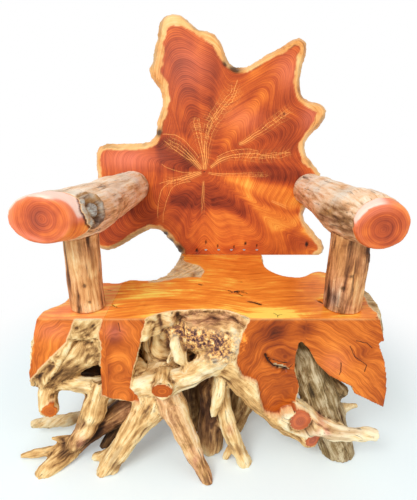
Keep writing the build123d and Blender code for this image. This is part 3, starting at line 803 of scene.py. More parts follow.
# %% Slab rings
PITH = np.array([-15.0, 302.0])
RINGS = 78
ROUND_REACH = 330.0
TURN_STEPS = 360
SOFTEN_REACH = 8
from_pith = slab_flat - PITH
angle = np.arctan2(from_pith[:, 1], from_pith[:, 0])
radius = np.linalg.norm(from_pith, axis=1)
turn = (angle / (2 * np.pi) + 0.5) * TURN_STEPS
reach = np.zeros(TURN_STEPS)
np.maximum.at(reach, turn.astype(int) % TURN_STEPS, radius)
turn_angle = ((np.arange(TURN_STEPS) + 0.5) / TURN_STEPS - 0.5) * 2 * np.pi
to_foot = PITH[1] + reach * np.sin(turn_angle) < 8
reach = np.where(to_foot, 360 + 70 * np.sin(turn_angle * 5) + 30 * np.sin(turn_angle * 13), reach)
for _ in range(SOFTEN_REACH):
    reach = (np.roll(reach, 1) + 2 * reach + np.roll(reach, -1)) / 4
before = np.floor(turn - 0.5)
share = turn - 0.5 - before
before = before.astype(int) % TURN_STEPS
outline = reach[before] * (1 - share) + reach[(before + 1) % TURN_STEPS] * share
towards = np.clip(radius / outline * 2.0, 0, 1)
ring = radius / (ROUND_REACH * (1 - towards) + outline * towards) * RINGS
print("rings", ring.min().round(1), "to", ring.max().round(1))

# %% [markdown]
# Feathers, veins and stains are drawn on the slab, in millimetres across and up it. A
# feather is a route with a width, a vein is a single golden line, and a patch is an outline that
# makes the wood brighter or darker. Soft ovals give a strength, a middle and a size both ways.

# %% Drawings on the slab
FEATHERS = [
    (9, [(-15, 306), (-16, 342), (-30, 410), (-40, 461), (-43, 504)]),
    (13, [(-14, 306), (-12, 342), (-9, 410), (12, 471), (47, 517), (81, 559), (97, 608)]),
    (9, [(104, 396), (131, 407), (199, 452), (261, 496), (300, 520)]),
    (8, [(4, 314), (50, 346), (108, 356), (179, 354), (243, 359), (306, 373)]),
    (11, [(-22, 308), (-67, 356), (-102, 385), (-142, 407), (-159, 424)]),
    (10, [(-22, 300), (-92, 276), (-139, 267), (-174, 270)]),
    (4, [(-18, 272), (-20, 200), (-21, 134)]),
    (4, [(-4, 298), (40, 292), (109, 292), (192, 290), (230, 300)]),
    (5, [(224, 200), (267, 182), (309, 164)]),
]
VEINS = [
    [(-16, 342), (-9, 410), (12, 471), (47, 517), (81, 559), (97, 608)],
    [(-12, 342), (-23, 394), (-26, 444), (-33, 484)],
    [(-37, 335), (-79, 349), (-118, 377), (-152, 407)],
    [(-34, 349), (-65, 390), (-107, 424), (-159, 431)],
    [(-44, 301), (-102, 280), (-155, 266), (-173, 259)],
    [(-73, 280), (-130, 266), (-167, 237), (-182, 184), (-184, 137)],
    [(-66, 269), (-120, 252), (-146, 216), (-161, 166), (-166, 122)],
    [(-37, 301), (-94, 301), (-144, 315), (-165, 328)],
    [(27, 342), (83, 359), (146, 366), (210, 359), (287, 370)],
    [(30, 353), (76, 373), (132, 380), (174, 373)],
]
SLAB_TONES = [
    (-0.35, (-50, 560), (85, 90)),
    (-0.35, (-90, 170), (60, 60)),
    (0.25, (10, 95), (60, 60)),
    (0.20, (130, 460), (62, 34)),
    (0.30, (-330, 330), (95, 60)),
    (-0.25, (250, 420), (60, 40)),
    (-0.20, (-30, 350), (60, 40)),
]
SLAB_PATCHES = [
    (0.62, [
        (23, 290), (123, 297), (191, 269), (274, 259), (339, 237), (349, 177), (295, 166), (248, 177),
        (185, 213), (113, 252),
    ]),
    (0.55, [
        (84, 248), (150, 195), (206, 122), (244, 74), (334, 100), (343, 148), (277, 155), (193, 191),
        (138, 237),
    ]),
    (-0.36, [
        (-5, 266), (77, 237), (132, 195), (169, 148), (115, 137), (78, 159), (5, 177), (-67, 166),
        (-128, 184), (-157, 209), (-84, 230), (-30, 255),
    ]),
    (-0.52, [
        (-187, 410), (-135, 424), (-82, 400), (-48, 359), (-37, 315), (-84, 301), (-144, 308),
        (-182, 342),
    ]),
    (-0.42, [(48, 315), (147, 332), (289, 322), (343, 301), (327, 262), (219, 280), (130, 301)]),
    (-0.10, [
        (-145, 757), (-62, 739), (22, 686), (66, 633), (56, 592), (-12, 510), (-64, 461), (-116, 494),
        (-149, 543), (-158, 639),
    ]),
    (0.30, [
        (30, 377), (57, 444), (126, 527), (183, 575), (211, 559), (161, 494), (100, 427), (58, 370),
    ]),
    (-0.14, [(93, 394), (186, 451), (282, 504), (319, 444), (322, 383), (217, 366), (111, 349)]),
    (-0.25, [(300, 37), (321, 63), (373, 67), (404, 30), (383, 11), (302, 3)]),
    (-0.35, [
        (-398, 74), (-376, 148), (-283, 202), (-211, 202), (-183, 148), (-214, 100), (-289, 56),
        (-363, 34),
    ]),
    (0.85, [(335, 86), (363, 111), (395, 63), (380, 56)]),
    (0.34, [(-49, 122), (23, 184), (96, 148), (170, 111), (197, 56), (116, 26), (-31, 19), (-68, 56)]),
]
SLAB_PINKS = [
    (0.45, (-60, 660), (70, 90)),
    (0.95, (-290, 345), (95, 36)),
    (0.60, (275, 640), (45, 55)),
    (0.60, (353, 485), (32, 45)),
    (0.45, (120, 480), (60, 40)),
]
print("feathers", len(FEATHERS), "veins", len(VEINS), "patches", len(SLAB_PATCHES))

# %% [markdown]
# Each point of the slab now learns how strong the nearest feather is, how far along and to which
# side of it the point lies, and how bright and pink the wood is there.

# %% Slab figure
slab_links = edges_of(slab)
feather = np.zeros(len(slab_flat))
vein_along = np.zeros(len(slab_flat))
vein_across = np.zeros(len(slab_flat))
for width, route in FEATHERS:
    route = curved(route)
    distance, along = from_line(slab_flat, route)
    spreads = width * np.minimum(0.5 + along / 115, 1.9)
    strength = near(distance, 0, spreads) * fade(along, 0, 8) * fade(along.max() - along, 0, 50)
    stronger = strength > feather
    feather[stronger] = strength[stronger]
    vein_along[stronger] = along[stronger]
    vein_across[stronger] = drawn_lines(slab_flat, [route])[0][stronger]
line_side, near_line = drawn_lines(slab_flat, [curved(route) for route in VEINS])
flat_noise = np.zeros(len(slab_flat))
rays = grid_noise(np.c_[angle * 5.5, radius / 330, flat_noise], 71)
rays += 0.6 * grid_noise(np.c_[angle * 13, radius / 210, flat_noise], 75)
slab_tone = blobs(slab_flat, SLAB_TONES) + 0.20 * rays * fade(radius, 40, 140) + 0.06
for strength, corners in SLAB_PATCHES:
    patch = inside(slab_flat + 7 * np.c_[rays, -rays], corners).astype(float)
    slab_tone += 1.25 * strength * spread(patch, slab_links, 7)
slab_pink = np.clip(blobs(slab_flat, SLAB_PINKS), 0, 1)
print("feather", feather.mean().round(3), "tone", slab_tone.min().round(2), slab_tone.max().round(2))

# %% [markdown]
# The bark has fallen off and left a bright band of sapwood, wide at the top and thin at the
# bottom. Its edge is uneven, dark bark sticks in the bays, and a thin dark line of old bark
# follows the border between the band and the red wood.

# %% Slab rim
BARK_SPOTS = [
    ((88, 640), 22), ((52, 655), 12), ((-172, 436), 13), ((-108, 22), 22), ((-160, 78), 12),
    ((-140, 50), 14),
]
RIM_WIDTHS = [
    (20.0, (-110, 800), (110, 36)),
    (15.0, (-172, 650), (50, 140)),
    (10.0, (5, 735), (60, 50)),
    (14.0, (325, 705), (44, 40)),
    (8.0, (330, 600), (40, 60)),
    (22.0, (408, 512), (46, 56)),
    (6.0, (330, 370), (50, 60)),
    (6.0, (-300, 396), (120, 30)),
    (9.0, (420, 60), (50, 70)),
    (-5.0, (-300, 50), (120, 80)),
]
PLAIN_RIM = 7.0
BARK_LINE_FROM = 420
band = PLAIN_RIM + blobs(slab_flat, RIM_WIDTHS)
band = band + 0.4 * band * fractal(np.c_[slab_flat / 26, flat_noise], 3, 5)
rim = 1 - fade(from_edge - band, -3.0, 2.0)
rim[side] = np.where(slab_flat[side, 1] < -16, 0.2, 1.0)
spots = np.zeros(len(slab_flat))
for middle, size in BARK_SPOTS:
    spots = np.maximum(spots, near(np.linalg.norm(slab_flat - middle, axis=1), 0, size))
spots *= 1 - fade(from_edge, 6, 16)
outer_line = 0.30 * (1 - fade(from_edge, 1.0, 5.0))
outer_line *= fade(fractal(slab_points / [40, 60, 40], 2, 19), 0.0, 0.6)
bark_line = 0.5 * near(from_edge, band, 2.6) * (slab_flat[:, 1] > BARK_LINE_FROM)
bark_line *= fade(fractal(slab_points / [55, 90, 55], 2, 29), 0.2, 0.8)
slab_dark = np.clip(np.maximum(spots * 1.2, np.maximum(outer_line, bark_line)), 0, 0.9)
print("rim", round(100 * float((rim > 0.5).mean())), "percent of the slab")

# %% [markdown]
# Small holes are dented into the front: the pith, an old knot, and the pockets of the screws along
# the foot. The live edge gets its lumps by a push outwards, and then the slab leans back again.

# %% Holes and edge of the slab
HOLES = [
    (tuple(PITH), 3.5, 2.0), ((262, 498), 4.5, 5.0), ((-43, 17), (5.0, 8.0), 4.0),
    ((362, 40), (6.0, 12.0), 2.0), ((-9, 48), (3.5, 8.0), 2.5), ((33, 33), (3.0, 7.0), 2.0),
    ((94, 30), (3.0, 7.0), 2.0), ((136, 43), (3.2, 9.0), 2.5), ((179, 35), (3.0, 7.0), 2.0),
]
facing = slab_normals[:, 1] < -0.5
shift = np.zeros_like(slab_points)
for middle, size, depth in HOLES:
    dent = spot(slab_flat, middle, size) * facing
    shift[:, 1] += depth * dent
    slab_dark = np.maximum(slab_dark, fade(dent, 0.25, 0.7))
coarse = fractal(slab_points / [34, 60, 34], 3, 9)[:, None]
small = fractal(slab_points / [9, 22, 9], 2, 12)[:, None]
edge_share = (side * fade(slab_points[:, 2], 4.0, 14.0))[:, None]
outwards = slab_normals * [1, 0, 1]
shift += outwards * edge_share * (2.6 * coarse + 1.3 * small)
shift += outwards * (spots * side)[:, None] * small * 3.0
slab_points = slab_points + shift
reshape(slab, slab_points / 1000)
slab.transform(stand_up.inverted())
print("edge moved by up to", np.abs(shift).max().round(1), "mm")

# %% [markdown]
# The skin now carries its marks, and it stands for the plain slab. Its grain runs through the
# thickness, because the slab is a slice across the trunk.

# %% Slab piece
mark(
    slab,
    paint=(1.0, slab_tone, slab_pink),
    stain=(0.0, slab_dark, spots * 0.6),
    figure=(ring, feather, rim),
    vein=(vein_along, vein_across, 1.5),
    line=(line_side, near_line, 1.0),
    grain=(slab_points[:, 1] / 1000, slab_points[:, 0] / 1000, slab_points[:, 2] / 1000),
)
put("back_slab_wood", slab, finishes["slab"], "slab_wood", "back_slab")

# %% [markdown]
# ## The stump
# Seat, sawn faces and roots are one grown mass. The sawn front faces and the islands of rough wood
# on the seat are drawn as outlines, in millimetres across and back for the seat, and across and up
# for the front.

# %% Outlines on the stump
ROUGH_TOPS = [
    [
        (-185, 225), (-150, 300), (-128, 380), (-120, 560), (-96, 560), (-96, 479), (-83, 405), (-50, 385),
        (-29, 366), (-16, 330), (-18, 303), (-27, 265), (-59, 272), (-96, 265), (-126, 245), (-158, 230),
    ],
    [(440, -10), (430, 40), (436, 110), (444, 170), (420, 230), (520, 260), (560, 0)],
]
SAWN_FACES = [
    [
        (-433, 432), (-456, 334), (-475, 263), (-479, 235), (-468, 254), (-428, 298), (-394, 334),
        (-371, 355), (-353, 387), (-337, 432),
    ],
    [
        (-265, 432), (-278, 387), (-279, 319), (-287, 263), (-286, 197), (-259, 186), (-210, 176),
        (-185, 189), (-210, 223), (-205, 257), (-190, 306), (-176, 353), (-171, 387), (-157, 432),
    ],
    [
        (104, 432), (103, 425), (78, 359), (72, 300), (88, 266), (129, 247), (138, 197), (149, 153),
        (188, 139), (212, 142), (233, 161), (243, 204), (244, 228), (229, 273), (227, 320), (232, 349),
        (237, 354), (242, 356), (257, 343), (281, 300), (319, 260), (355, 239), (384, 225), (392, 204),
        (478, 150), (520, 263), (500, 432),
    ],
]
print("islands", len(ROUGH_TOPS), "sawn faces", len(SAWN_FACES))

# %% [markdown]
# One skin wraps the whole stump. Points of the seat top and of the sawn faces are set into one
# plane each and stay there. Everywhere else, the creases where two roots meet are filled a little,
# as wood grows over them, and a step in the left shoulder is smoothed away. A lump closes the view
# behind the slot beside the left buttress, and painted shade later makes it dark.

# %% Stump skin
STUMP_VOXEL = 0.0042
FLAT_WITHIN = 2
SAWN_DEPTHS = (-30, 14)
BELOW_THE_ARRIS = 424
ROUGH_FRONT_BACK = 0.0035
ROUGH_TOP_DOWN = 0.0045
FILL_ROUNDS = 16
ON_THE_STUMP = ("back_slab", "arm_left", "arm_right", "post_left", "post_right")
JOINERY = ("dowels", "screws", "plugs")
# A lump behind the slot that painted shade makes dark.
SLOT_LUMP = ((-347, 96, 214), (72, 22, 35))
stump_nodes = sorted(name for name in nodes if name not in ON_THE_STUMP and not name.endswith(JOINERY))
stump = wrapped("stump_skin", stump_nodes, STUMP_VOXEL, lumps_inside=[SLOT_LUMP])
links = edges_of(stump)
points = points_of(stump)
normals = normals_of(stump)
mm = measured(points)
on_top = (np.abs(mm[:, 2] - SEAT_TOP * 1000) < FLAT_WITHIN) & (normals[:, 2] > 0.85)
wobble = np.stack([fractal(mm / 24, 2, 111), fractal(mm / 24, 2, 113)], axis=1) * 2.5
rough_top = on_top & np.any([inside(mm[:, :2] + 2 * wobble, zone) for zone in ROUGH_TOPS], axis=0)
on_top &= ~rough_top
drawn = np.any([inside(mm[:, [0, 2]] + wobble, face) for face in SAWN_FACES], axis=0)
on_front = drawn & between(mm[:, 1], *SAWN_DEPTHS) & (normals[:, 1] < -0.35)
left_rough = (np.abs(mm[:, 1]) < FLAT_WITHIN) & (normals[:, 1] < -0.85) & ~on_front
left_rough &= mm[:, 2] < BELOW_THE_ARRIS
flats = (on_top | on_front).astype(float)
points[on_top, 2] = SEAT_TOP
points[on_front, 1] = FRONT
points[left_rough, 1] += ROUGH_FRONT_BACK
points[rough_top, 2] -= ROUGH_TOP_DOWN
free = 1 - np.clip(spread(flats, links, 2) * 1.6, 0, 1)
points = relax(points, links, 0.5 * free, 3)
shoulder_step = np.exp(-(((mm[:, 0] + 300) / 44) ** 4)) * near(mm[:, 2], 386, 24) * (mm[:, 1] < 60)
points = relax(points, links, 0.9 * shoulder_step * free, 40)
for _ in range(FILL_ROUNDS):
    middles = relax(points, links, np.ones(len(points)), 1)
    reshape(stump, points)
    normals = normals_of(stump)
    hollow = ((middles - points) * normals).sum(1) > 0
    points = points + (middles - points) * (0.7 * free * hollow)[:, None]
print("stump", len(stump_nodes), "nodes,", int(flats.sum()), "points on flat faces")

# %% [markdown]
# To run grain along a root, each point of the skin needs to know which root it is on and how far
# along it lies. The nearest solid names the root. Its own long axis, taken in short stretches,
# then gives the direction.

# %% Which root is which
SHOULDER_ACROSS = (-350, SEAM_X)
SHOULDER_UP = (370, 427)
tree_points, tree_faces, face_node = [], [], []
for number, name in enumerate(stump_nodes):
    mesh = nodes[name].data
    base = len(tree_points)
    tree_points.extend(v.co.copy() for v in mesh.vertices)
    tree_faces.extend([base + i for i in p.vertices] for p in mesh.polygons)
    face_node.extend([number] * len(mesh.polygons))
nearest_solid = BVHTree.FromPolygons(tree_points, tree_faces)
owner = np.array([face_node[nearest_solid.find_nearest(Vector(p))[2]] for p in points])
now = measured(points)
over_shoulder = between(now[:, 0], *SHOULDER_ACROSS) & between(now[:, 2], *SHOULDER_UP)
over_shoulder &= (now[:, 1] < 14) & (flats < 0.5)
owner[over_shoulder] = stump_nodes.index("left_shoulder")
owned = {name: owner == number for number, name in enumerate(stump_nodes)}
largest = sorted(((int(mask.sum()), name) for name, mask in owned.items()), reverse=True)
print("largest shares", largest[:5])

# %% [markdown]
# The long axis of a root comes from the spread of its points. The middles of six stretches along
# it say how the root bends, and the bend is taken out, so the grain follows it.

# %% Grain along the roots
STRETCHES = 6


def axis_frame(cloud):
    """The middle of a cloud of points, its long axis, and two directions across it."""
    middle = cloud.mean(0)
    return middle, np.linalg.eigh(np.cov((cloud - middle).T))[1][:, ::-1].T


grain = np.zeros_like(points)
for name, mask in owned.items():
    if not mask.any():
        continue
    cloud = points_of(nodes[name].data)
    middle, axes = axis_frame(cloud)
    grain[mask] = (points[mask] - middle) @ axes.T
    along = (cloud - middle) @ axes[0]
    cuts = np.quantile(along, np.linspace(0, 1, STRETCHES + 1))
    stretches = [(along >= low) & (along <= high) for low, high in zip(cuts[:-1], cuts[1:])]
    centres = np.array([cloud[stretch].mean(0) for stretch in stretches]) - middle
    for across in (1, 2):
        grain[mask, across] -= np.interp(grain[mask, 0], centres @ axes[0], centres @ axes[across])
grain_mm = grain * 1000
print("grain reaches", grain_mm.min(0).round(), grain_mm.max(0).round())

# %% [markdown]
# Now the carving itself: broad lumps, then strands along the grain, then the small crumbs of old
# bark and the red fibres under the seat's edge. All of it fades out towards the polished faces.
# A few ridges that the eye follows are drawn as lines, with their width, height and route.

# %% Carve the roots
RIDGES = [
    (13, 9.0, [(-104, 426), (-100, 390), (-92, 350), (-78, 310)]),
    (8, 4.0, [(-150, 400), (-168, 350), (-176, 300)]),
    (9, 4.0, [(60, 400), (82, 340), (96, 285)]),
    (21, 8.0, [(-372, 68), (-354, 80), (-336, 88)]),
]
PIT_PLACES = [(1.2, (-20, 365), (78, 40)), (0.5, (40, 340), (30, 34)), (0.8, (-80, 345), (30, 40))]
FIBRE_PLACES = [(1.3, (-5, 412), (90, 18))]
BROW_BACK = 0.022
mm = measured(points)
is_seat = np.any([owned[name] for name in stump_nodes if name.startswith("seat_")], axis=0)
rough_share = np.clip(1 - spread(flats, links, 3) * 2.2, 0, 1)
lumps = fractal(mm / 62, 2, 21)
knuckles = fractal(mm / 24, 2, 31)
strands = fractal(grain_mm / [70, 11, 11] + owner[:, None] * 3.1, 2, 41)
fibres = fractal(grain_mm / [40, 4.6, 4.6] + owner[:, None] * 1.7, 1, 51)
crumbs = fractal(mm / 9.5, 2, 61)
under_edge = (mm[:, 1] < 150) & (mm[:, 2] < SEAT_HEIGHT)
under_edge &= owned["bark_brow"] | is_seat | owned["root_arch"]
fibre_zone = blobs(mm[:, [0, 2]], FIBRE_PLACES)
pit_zone = np.clip(1.3 * blobs(mm[:, [0, 2]], PIT_PLACES) - fibre_zone, 0, 1) * under_edge
pit_zone = np.clip(spread(pit_zone, links, 3), 0, 1)
fibre_zone = np.clip(fibre_zone, 0, 1) * under_edge
height = 4.4 * lumps + 2.2 * knuckles - 3.4 * np.abs(strands) + 0.9 * fibres + 0.8
height = np.where(is_seat, 1.6 * lumps + 1.8 * knuckles + 1.4 * crumbs, height)
height = np.where(rough_top, 1.2 * lumps + 1.6 * knuckles + 1.4 * crumbs, height)
height = height * (1 - pit_zone) + pit_zone * (2.2 * knuckles - 3.6 * np.clip(crumbs, -0.2, 1))
brow_back = owned["bark_brow"] * fade(-mm[:, 0], 48, 74)
points[:, 1] += BROW_BACK * spread(brow_back, links, 4)
reshape(stump, points)
normals = normals_of(stump)
on_the_front = (mm[:, 1] < 130) * fade(-normals[:, 1], 0.1, 0.5) * (mm[:, 2] < 428)
for width, rise, route in RIDGES:
    distance = from_line(mm[:, [0, 2]], route)[0]
    relief = near(distance, 0, width) - 0.7 * near(distance, 1.7 * width, 0.6 * width)
    height += rise * relief * on_the_front
points = points + normals * (height * rough_share)[:, None] / 1000
print("height", height.min().round(1), height.max().round(1))

# %% [markdown]
# Saw cuts through branches are flat and polished, with rings about their own middle. Each is a
# plane that shaves off what stands in front of it, given by its middle, the way it faces and
# its size.

# %% Cut ends of branches
CUT_ENDS = [
    ((246, -30, 139), (0.05, -0.98, -0.15), (27, 35)),
    ((285, -30, 74), (0.41, -0.91, 0.07), (24, 19)),
    ((-118, -47, 249), (0.00, -0.99, 0.06), (27, 19)),
    ((-426, -19, 161), (0.24, -0.95, -0.14), (20, 23)),
]
YEAR_ON_ENDS = 3.6
mm = measured(points)
end_ring = np.zeros(len(points))
end_mask = np.zeros(len(points))
for middle, way, (wide, tall) in CUT_ENDS:
    way = np.array(way) / np.linalg.norm(way)
    across = np.cross([0, 0, 1], way)
    across /= np.linalg.norm(across)
    offset = mm - middle
    out = offset @ way
    flat_at = np.stack([offset @ across / wide, offset @ np.cross(way, across) / tall], axis=1)
    oval = np.linalg.norm(flat_at, axis=1)
    in_front = (oval < 1.25) & between(out, 0, 40)
    shaved = in_front | ((oval < 1.0) & (out > -36) & (out <= 0) & (normals @ way > 0.15))
    mm[shaved] -= out[shaved, None] * way
    here = (oval < 1.04) & (np.abs(np.where(shaved, 0, out)) < 1.5)
    end_mask = np.maximum(end_mask, here)
    end_ring = np.where(here, oval * wide / YEAR_ON_ENDS + 7, end_ring)
print("cut ends", int(end_mask.sum()), "points")

# %% [markdown]
# Cracks and knots in the sawn faces are short grooves along drawn lines, given by their face, width
# and depth. Wide ones are dark inside. Each also gets a thin dark line along its middle.

# %% Cracks and knots
GROOVES = [
    ("front", 5.5, 13.0, [(148, 322), (157, 300), (172, 284), (204, 275)]),
    ("front", 3.0, 5.0, [(158, 312), (184, 302), (206, 298)]),
    ("front", 2.2, 2.5, [(206, 275), (222, 296)]),
    ("front", 2.4, 3.5, [(365, 350), (381, 318), (414, 292), (412, 272)]),
    ("front", 2.4, 3.5, [(379, 366), (407, 359), (421, 344)]),
    ("front", 3.0, 3.0, [(345, 300), (350, 272), (346, 262)]),
    ("front", 2.2, 2.5, [(-228, 418), (-224, 392)]),
    ("top", 3.2, 4.5, [(56, 173), (74, 160), (92, 158)]),
    ("top", 2.8, 3.0, [(74, 160), (98, 134)]),
    ("top", 3.4, 3.0, [(66, 162), (84, 168), (104, 166)]),
    ("top", 2.6, 2.0, [(80, 164), (112, 150)]),
    ("top", 2.6, 2.0, [(70, 160), (58, 150)]),
    ("top", 2.4, 2.5, [(84, 168), (62, 158)]),
    ("top", 8.0, 6.0, [(112, 104), (126, 98), (142, 86)]),
    ("top", 2.0, 1.5, [(168, 32), (176, 21), (190, 25)]),
    ("top", 2.0, 1.5, [(176, 21), (175, 8)]),
    ("top", 5.5, 6.0, [(305, 104), (313, 92)]),
    ("top", 6.0, 6.0, [(-28, 220), (-20, 214)]),
    ("top", 6.5, 6.0, [(-45, 324), (-36, 315)]),
    ("top", 3.0, 4.0, [(-260, 78), (-243, 66), (-228, 66)]),
    ("top", 4.5, 4.0, [(-296, 176), (-282, 172)]),
    ("top", 2.0, 2.0, [(92, 235), (104, 231)]),
]
WIDE_GROOVE = 5
groove = np.zeros(len(points))
crack_side = np.full(len(points), NO_LINE)
near_crack = np.zeros(len(points))
for face, width, depth, route in GROOVES:
    axes, normal_axis, inwards = ([0, 2], 1, 1) if face == "front" else ([0, 1], 2, -1)
    on_face = on_front if face == "front" else on_top
    dent = near(from_line(mm[:, axes], route)[0], 0, width) * on_face
    mm[:, normal_axis] += inwards * depth * dent
    if width > WIDE_GROOVE:
        groove = np.maximum(groove, fade(dent, 0.55, 0.95))
    away, close = drawn_lines(mm[:, axes], [route], 7.0)
    nearer = on_face & (close > near_crack)
    crack_side[nearer] = away[nearer] * 2.4 / width
    near_crack[nearer] = close[nearer]
mm[:, 2] = np.maximum(mm[:, 2], 0.0)
print("grooves", int((groove > 0.5).sum()), "points")

# %% [markdown]
# On the seat the figure runs from side to side and bends with the scooped front edge. Each sawn
# face under it shows its own root, so each has its own ring centre. In the right buttress a grey
# hollow of weathered wood interrupts the polish.

# %% Figure of the sawn faces
YEAR_ON_SEAT = 5.2
YEAR_ON_FACES = 4.2
FACE_PITHS = [((-330, 250), 1.5), ((-236, 150), 3.4), ((205, 60), 2.3), ((60, -120), 1.0)]
FACE_EDGES = [-268, -60, 245]
FACE_SWIRLS = [
    (7.0, (401, 316), (36, 25)),
    (5.0, (182, 290), (34, 22)),
    (3.5, (205, 190), (34, 30)),
    (3.0, (-380, 330), (40, 30)),
    (3.0, (-236, 250), (24, 30)),
]
GREY_HOLLOW = (190, 286)
HOLLOW_DEPTH = 5.0
seat_line = mm[:, 1] - 52 * near(mm[:, 0], -70, 150) * np.exp(-mm[:, 1] / 120)
seat_line = seat_line + 9 * np.sin(mm[:, 0] / 90) + 16 * near(mm[:, 0], 110, 60)
ring = seat_line / YEAR_ON_SEAT
face_number = np.digitize(mm[:, 0], FACE_EDGES)
for number, ((x, up), stretch) in enumerate(FACE_PITHS):
    chosen = on_front & (face_number == number)
    ring[chosen] = np.hypot(mm[chosen, 0] - x, (mm[chosen, 2] - up) / stretch) / YEAR_ON_FACES
swirl = blobs(mm[:, [0, 2]], FACE_SWIRLS) + 1.8 * fractal(mm / 48, 3, 201)
ring = ring + np.where(on_front, swirl, 0)
ring = np.where(end_mask > 0, end_ring, ring)
polished = np.maximum(spread(flats, links, 1), end_mask)
hollow_x, hollow_up = (mm[:, [0, 2]] - GREY_HOLLOW).T
hollow_at = np.hypot((hollow_x - 0.45 * hollow_up) / 25, (hollow_up + 0.40 * hollow_x) / 7.5)
grey_hollow = (hollow_at < 1) & on_front
polished[grey_hollow] = 0
mm[grey_hollow, 1] += HOLLOW_DEPTH
points = mm / 1000 + [MIDDLE, FRONT, 0]
reshape(stump, points)
print("polished", int((polished > 0.5).sum()), "points")

# %% [markdown]
# Stains of the sawn wood are painted the same way as on the slab. The seat glows yellow near its
# right front corner, dark fans lie under the front edge, and the joined-on end is pinker.

# %% Stains of the sawn faces
TOP_TONES = [
    (0.90, (172, 22), (66, 42)),
    (0.30, (60, 60), (90, 40)),
    (0.25, (-130, 150), (110, 70)),
    (0.20, (60, 220), (80, 60)),
    (-0.50, (-80, 98), (95, 14)),
    (-0.30, (250, 110), (50, 34)),
    (-0.45, (276, 207), (64, 52)),
    (-0.35, (0, 150), (120, 12)),
    (-0.30, (-150, 190), (90, 14)),
    (-0.25, (120, 300), (60, 90)),
]
FRONT_TONES = [
    (0.48, (-400, 350), (90, 90)),
    (0.40, (-235, 300), (40, 150)),
    (-0.80, (-238, 385), (17, 34)),
    (-0.30, (-262, 300), (10, 100)),
    (-0.85, (166, 392), (34, 38)),
    (-0.25, (110, 300), (26, 60)),
    (-0.35, (206, 330), (34, 26)),
    (-0.50, (246, 400), (22, 22)),
    (-0.10, (186, 205), (52, 46)),
    (0.42, (390, 250), (90, 80)),
    (0.25, (320, 380), (80, 40)),
    (-0.25, (400, 330), (36, 26)),
]
FRONT_PINKS = [(0.5, (-400, 395), (50, 26)), (0.5, (-240, 395), (30, 24)), (0.35, (330, 300), (34, 36))]
SEAT_BASE = 0.90
FRONT_BASE = 0.10
front_view = mm[:, [0, 2]]
top_view = mm[:, :2]
seat_end = on_top & (mm[:, 0] < SEAM_X)
tone = np.where(on_top, blobs(top_view, TOP_TONES) + SEAT_BASE, 0.0)
tone = np.where(on_front, blobs(front_view, FRONT_TONES) + FRONT_BASE, tone)
tone[seat_end] += 0.30
pink = np.where(on_front, blobs(front_view, FRONT_PINKS), 0.0)
pink[seat_end] = 0.60
print("sawn faces from", tone.min().round(2), "to", tone.max().round(2))

# %% [markdown]
# Each root has its own look: cream where it was scraped and grey where it weathered, and painted
# shade darkens the roots that hide deep inside and under the stump. The table gives how bright,
# pink, grey and dark each one is, and the borders are blurred.

# %% Age of each root
ROOT_LOOKS = {
    "grey_leg": (-0.10, 0.0, 0.92, 0.0),
    "grey_lump": (-0.40, 0.0, 0.85, 0.1),
    "grey_spur": (0.30, 0.0, 0.30, 0.0),
    "left_runner": (0.35, 0.10, 0.38, 0.0),
    "left_inner": (-0.40, 0.0, 0.0, 0.75),
    "tap_root": (-0.55, 0.15, 0.0, 0.62),
    "inner_right_leg": (-0.10, 0.0, 0.05, 0.25),
    "inner_left_leg": (-0.40, 0.0, 0.45, 0.35),
    "stump_core": (-0.25, 0.0, 0.0, 0.15),
    "rear_low_root": (-0.20, 0.0, 0.10, 0.25),
    "left_shoulder": (-0.20, 0.0, 0.10, 0.0),
    "arch_top": (0.15, 0.0, 0.0, 0.0),
    "arch_leg": (-0.10, 0.0, 0.0, 0.0),
    "hollow_wall": (0.12, 0.0, 0.0, 0.0),
    "sweep_knob": (-0.10, 0.7, 0.0, 0.0),
    "bark_brow": (0.30, 0.0, 0.0, 0.0),
    "left_stub": (0.10, 0.0, 0.0, 0.0),
    "root_arch": (0.42, 0.08, 0.0, 0.0),
    "right_sweep": (-0.15, 0.0, 0.0, 0.0),
    "right_arm_root": (0.68, 0.15, 0.0, 0.0),
    "front_strand": (0.60, 0.10, 0.0, 0.0),
    "strand_fork": (0.45, 0.20, 0.0, 0.0),
    "hanging_root": (0.0, 0.0, 0.0, 0.0),
    "centre_leg": (0.05, 0.50, 0.0, 0.0),
    "front_left_root": (0.15, 0.05, 0.0, 0.0),
    "left_fork": (-0.85, 0.40, 0.0, 0.05),
    "prong_long": (-0.30, 0.0, 0.0, 0.0),
    "prong_foot": (-0.30, 0.0, 0.0, 0.0),
    "right_foot_root": (0.20, 0.0, 0.0, 0.0),
}
rough = polished < 0.5
grey = np.zeros(len(points))
dark = np.zeros(len(points))
# The dark column is mostly painted shade on the roots that lie inside and under the stump.
for name, look in ROOT_LOOKS.items():
    mask = owned[name] & rough
    tone[mask], pink[mask], grey[mask], dark[mask] = look
grey = spread(grey, links, 3)
dark = spread(dark, links, 3)
tone[rough] = spread(tone, links, 3)[rough]
print("roots with an age", len(ROOT_LOOKS))
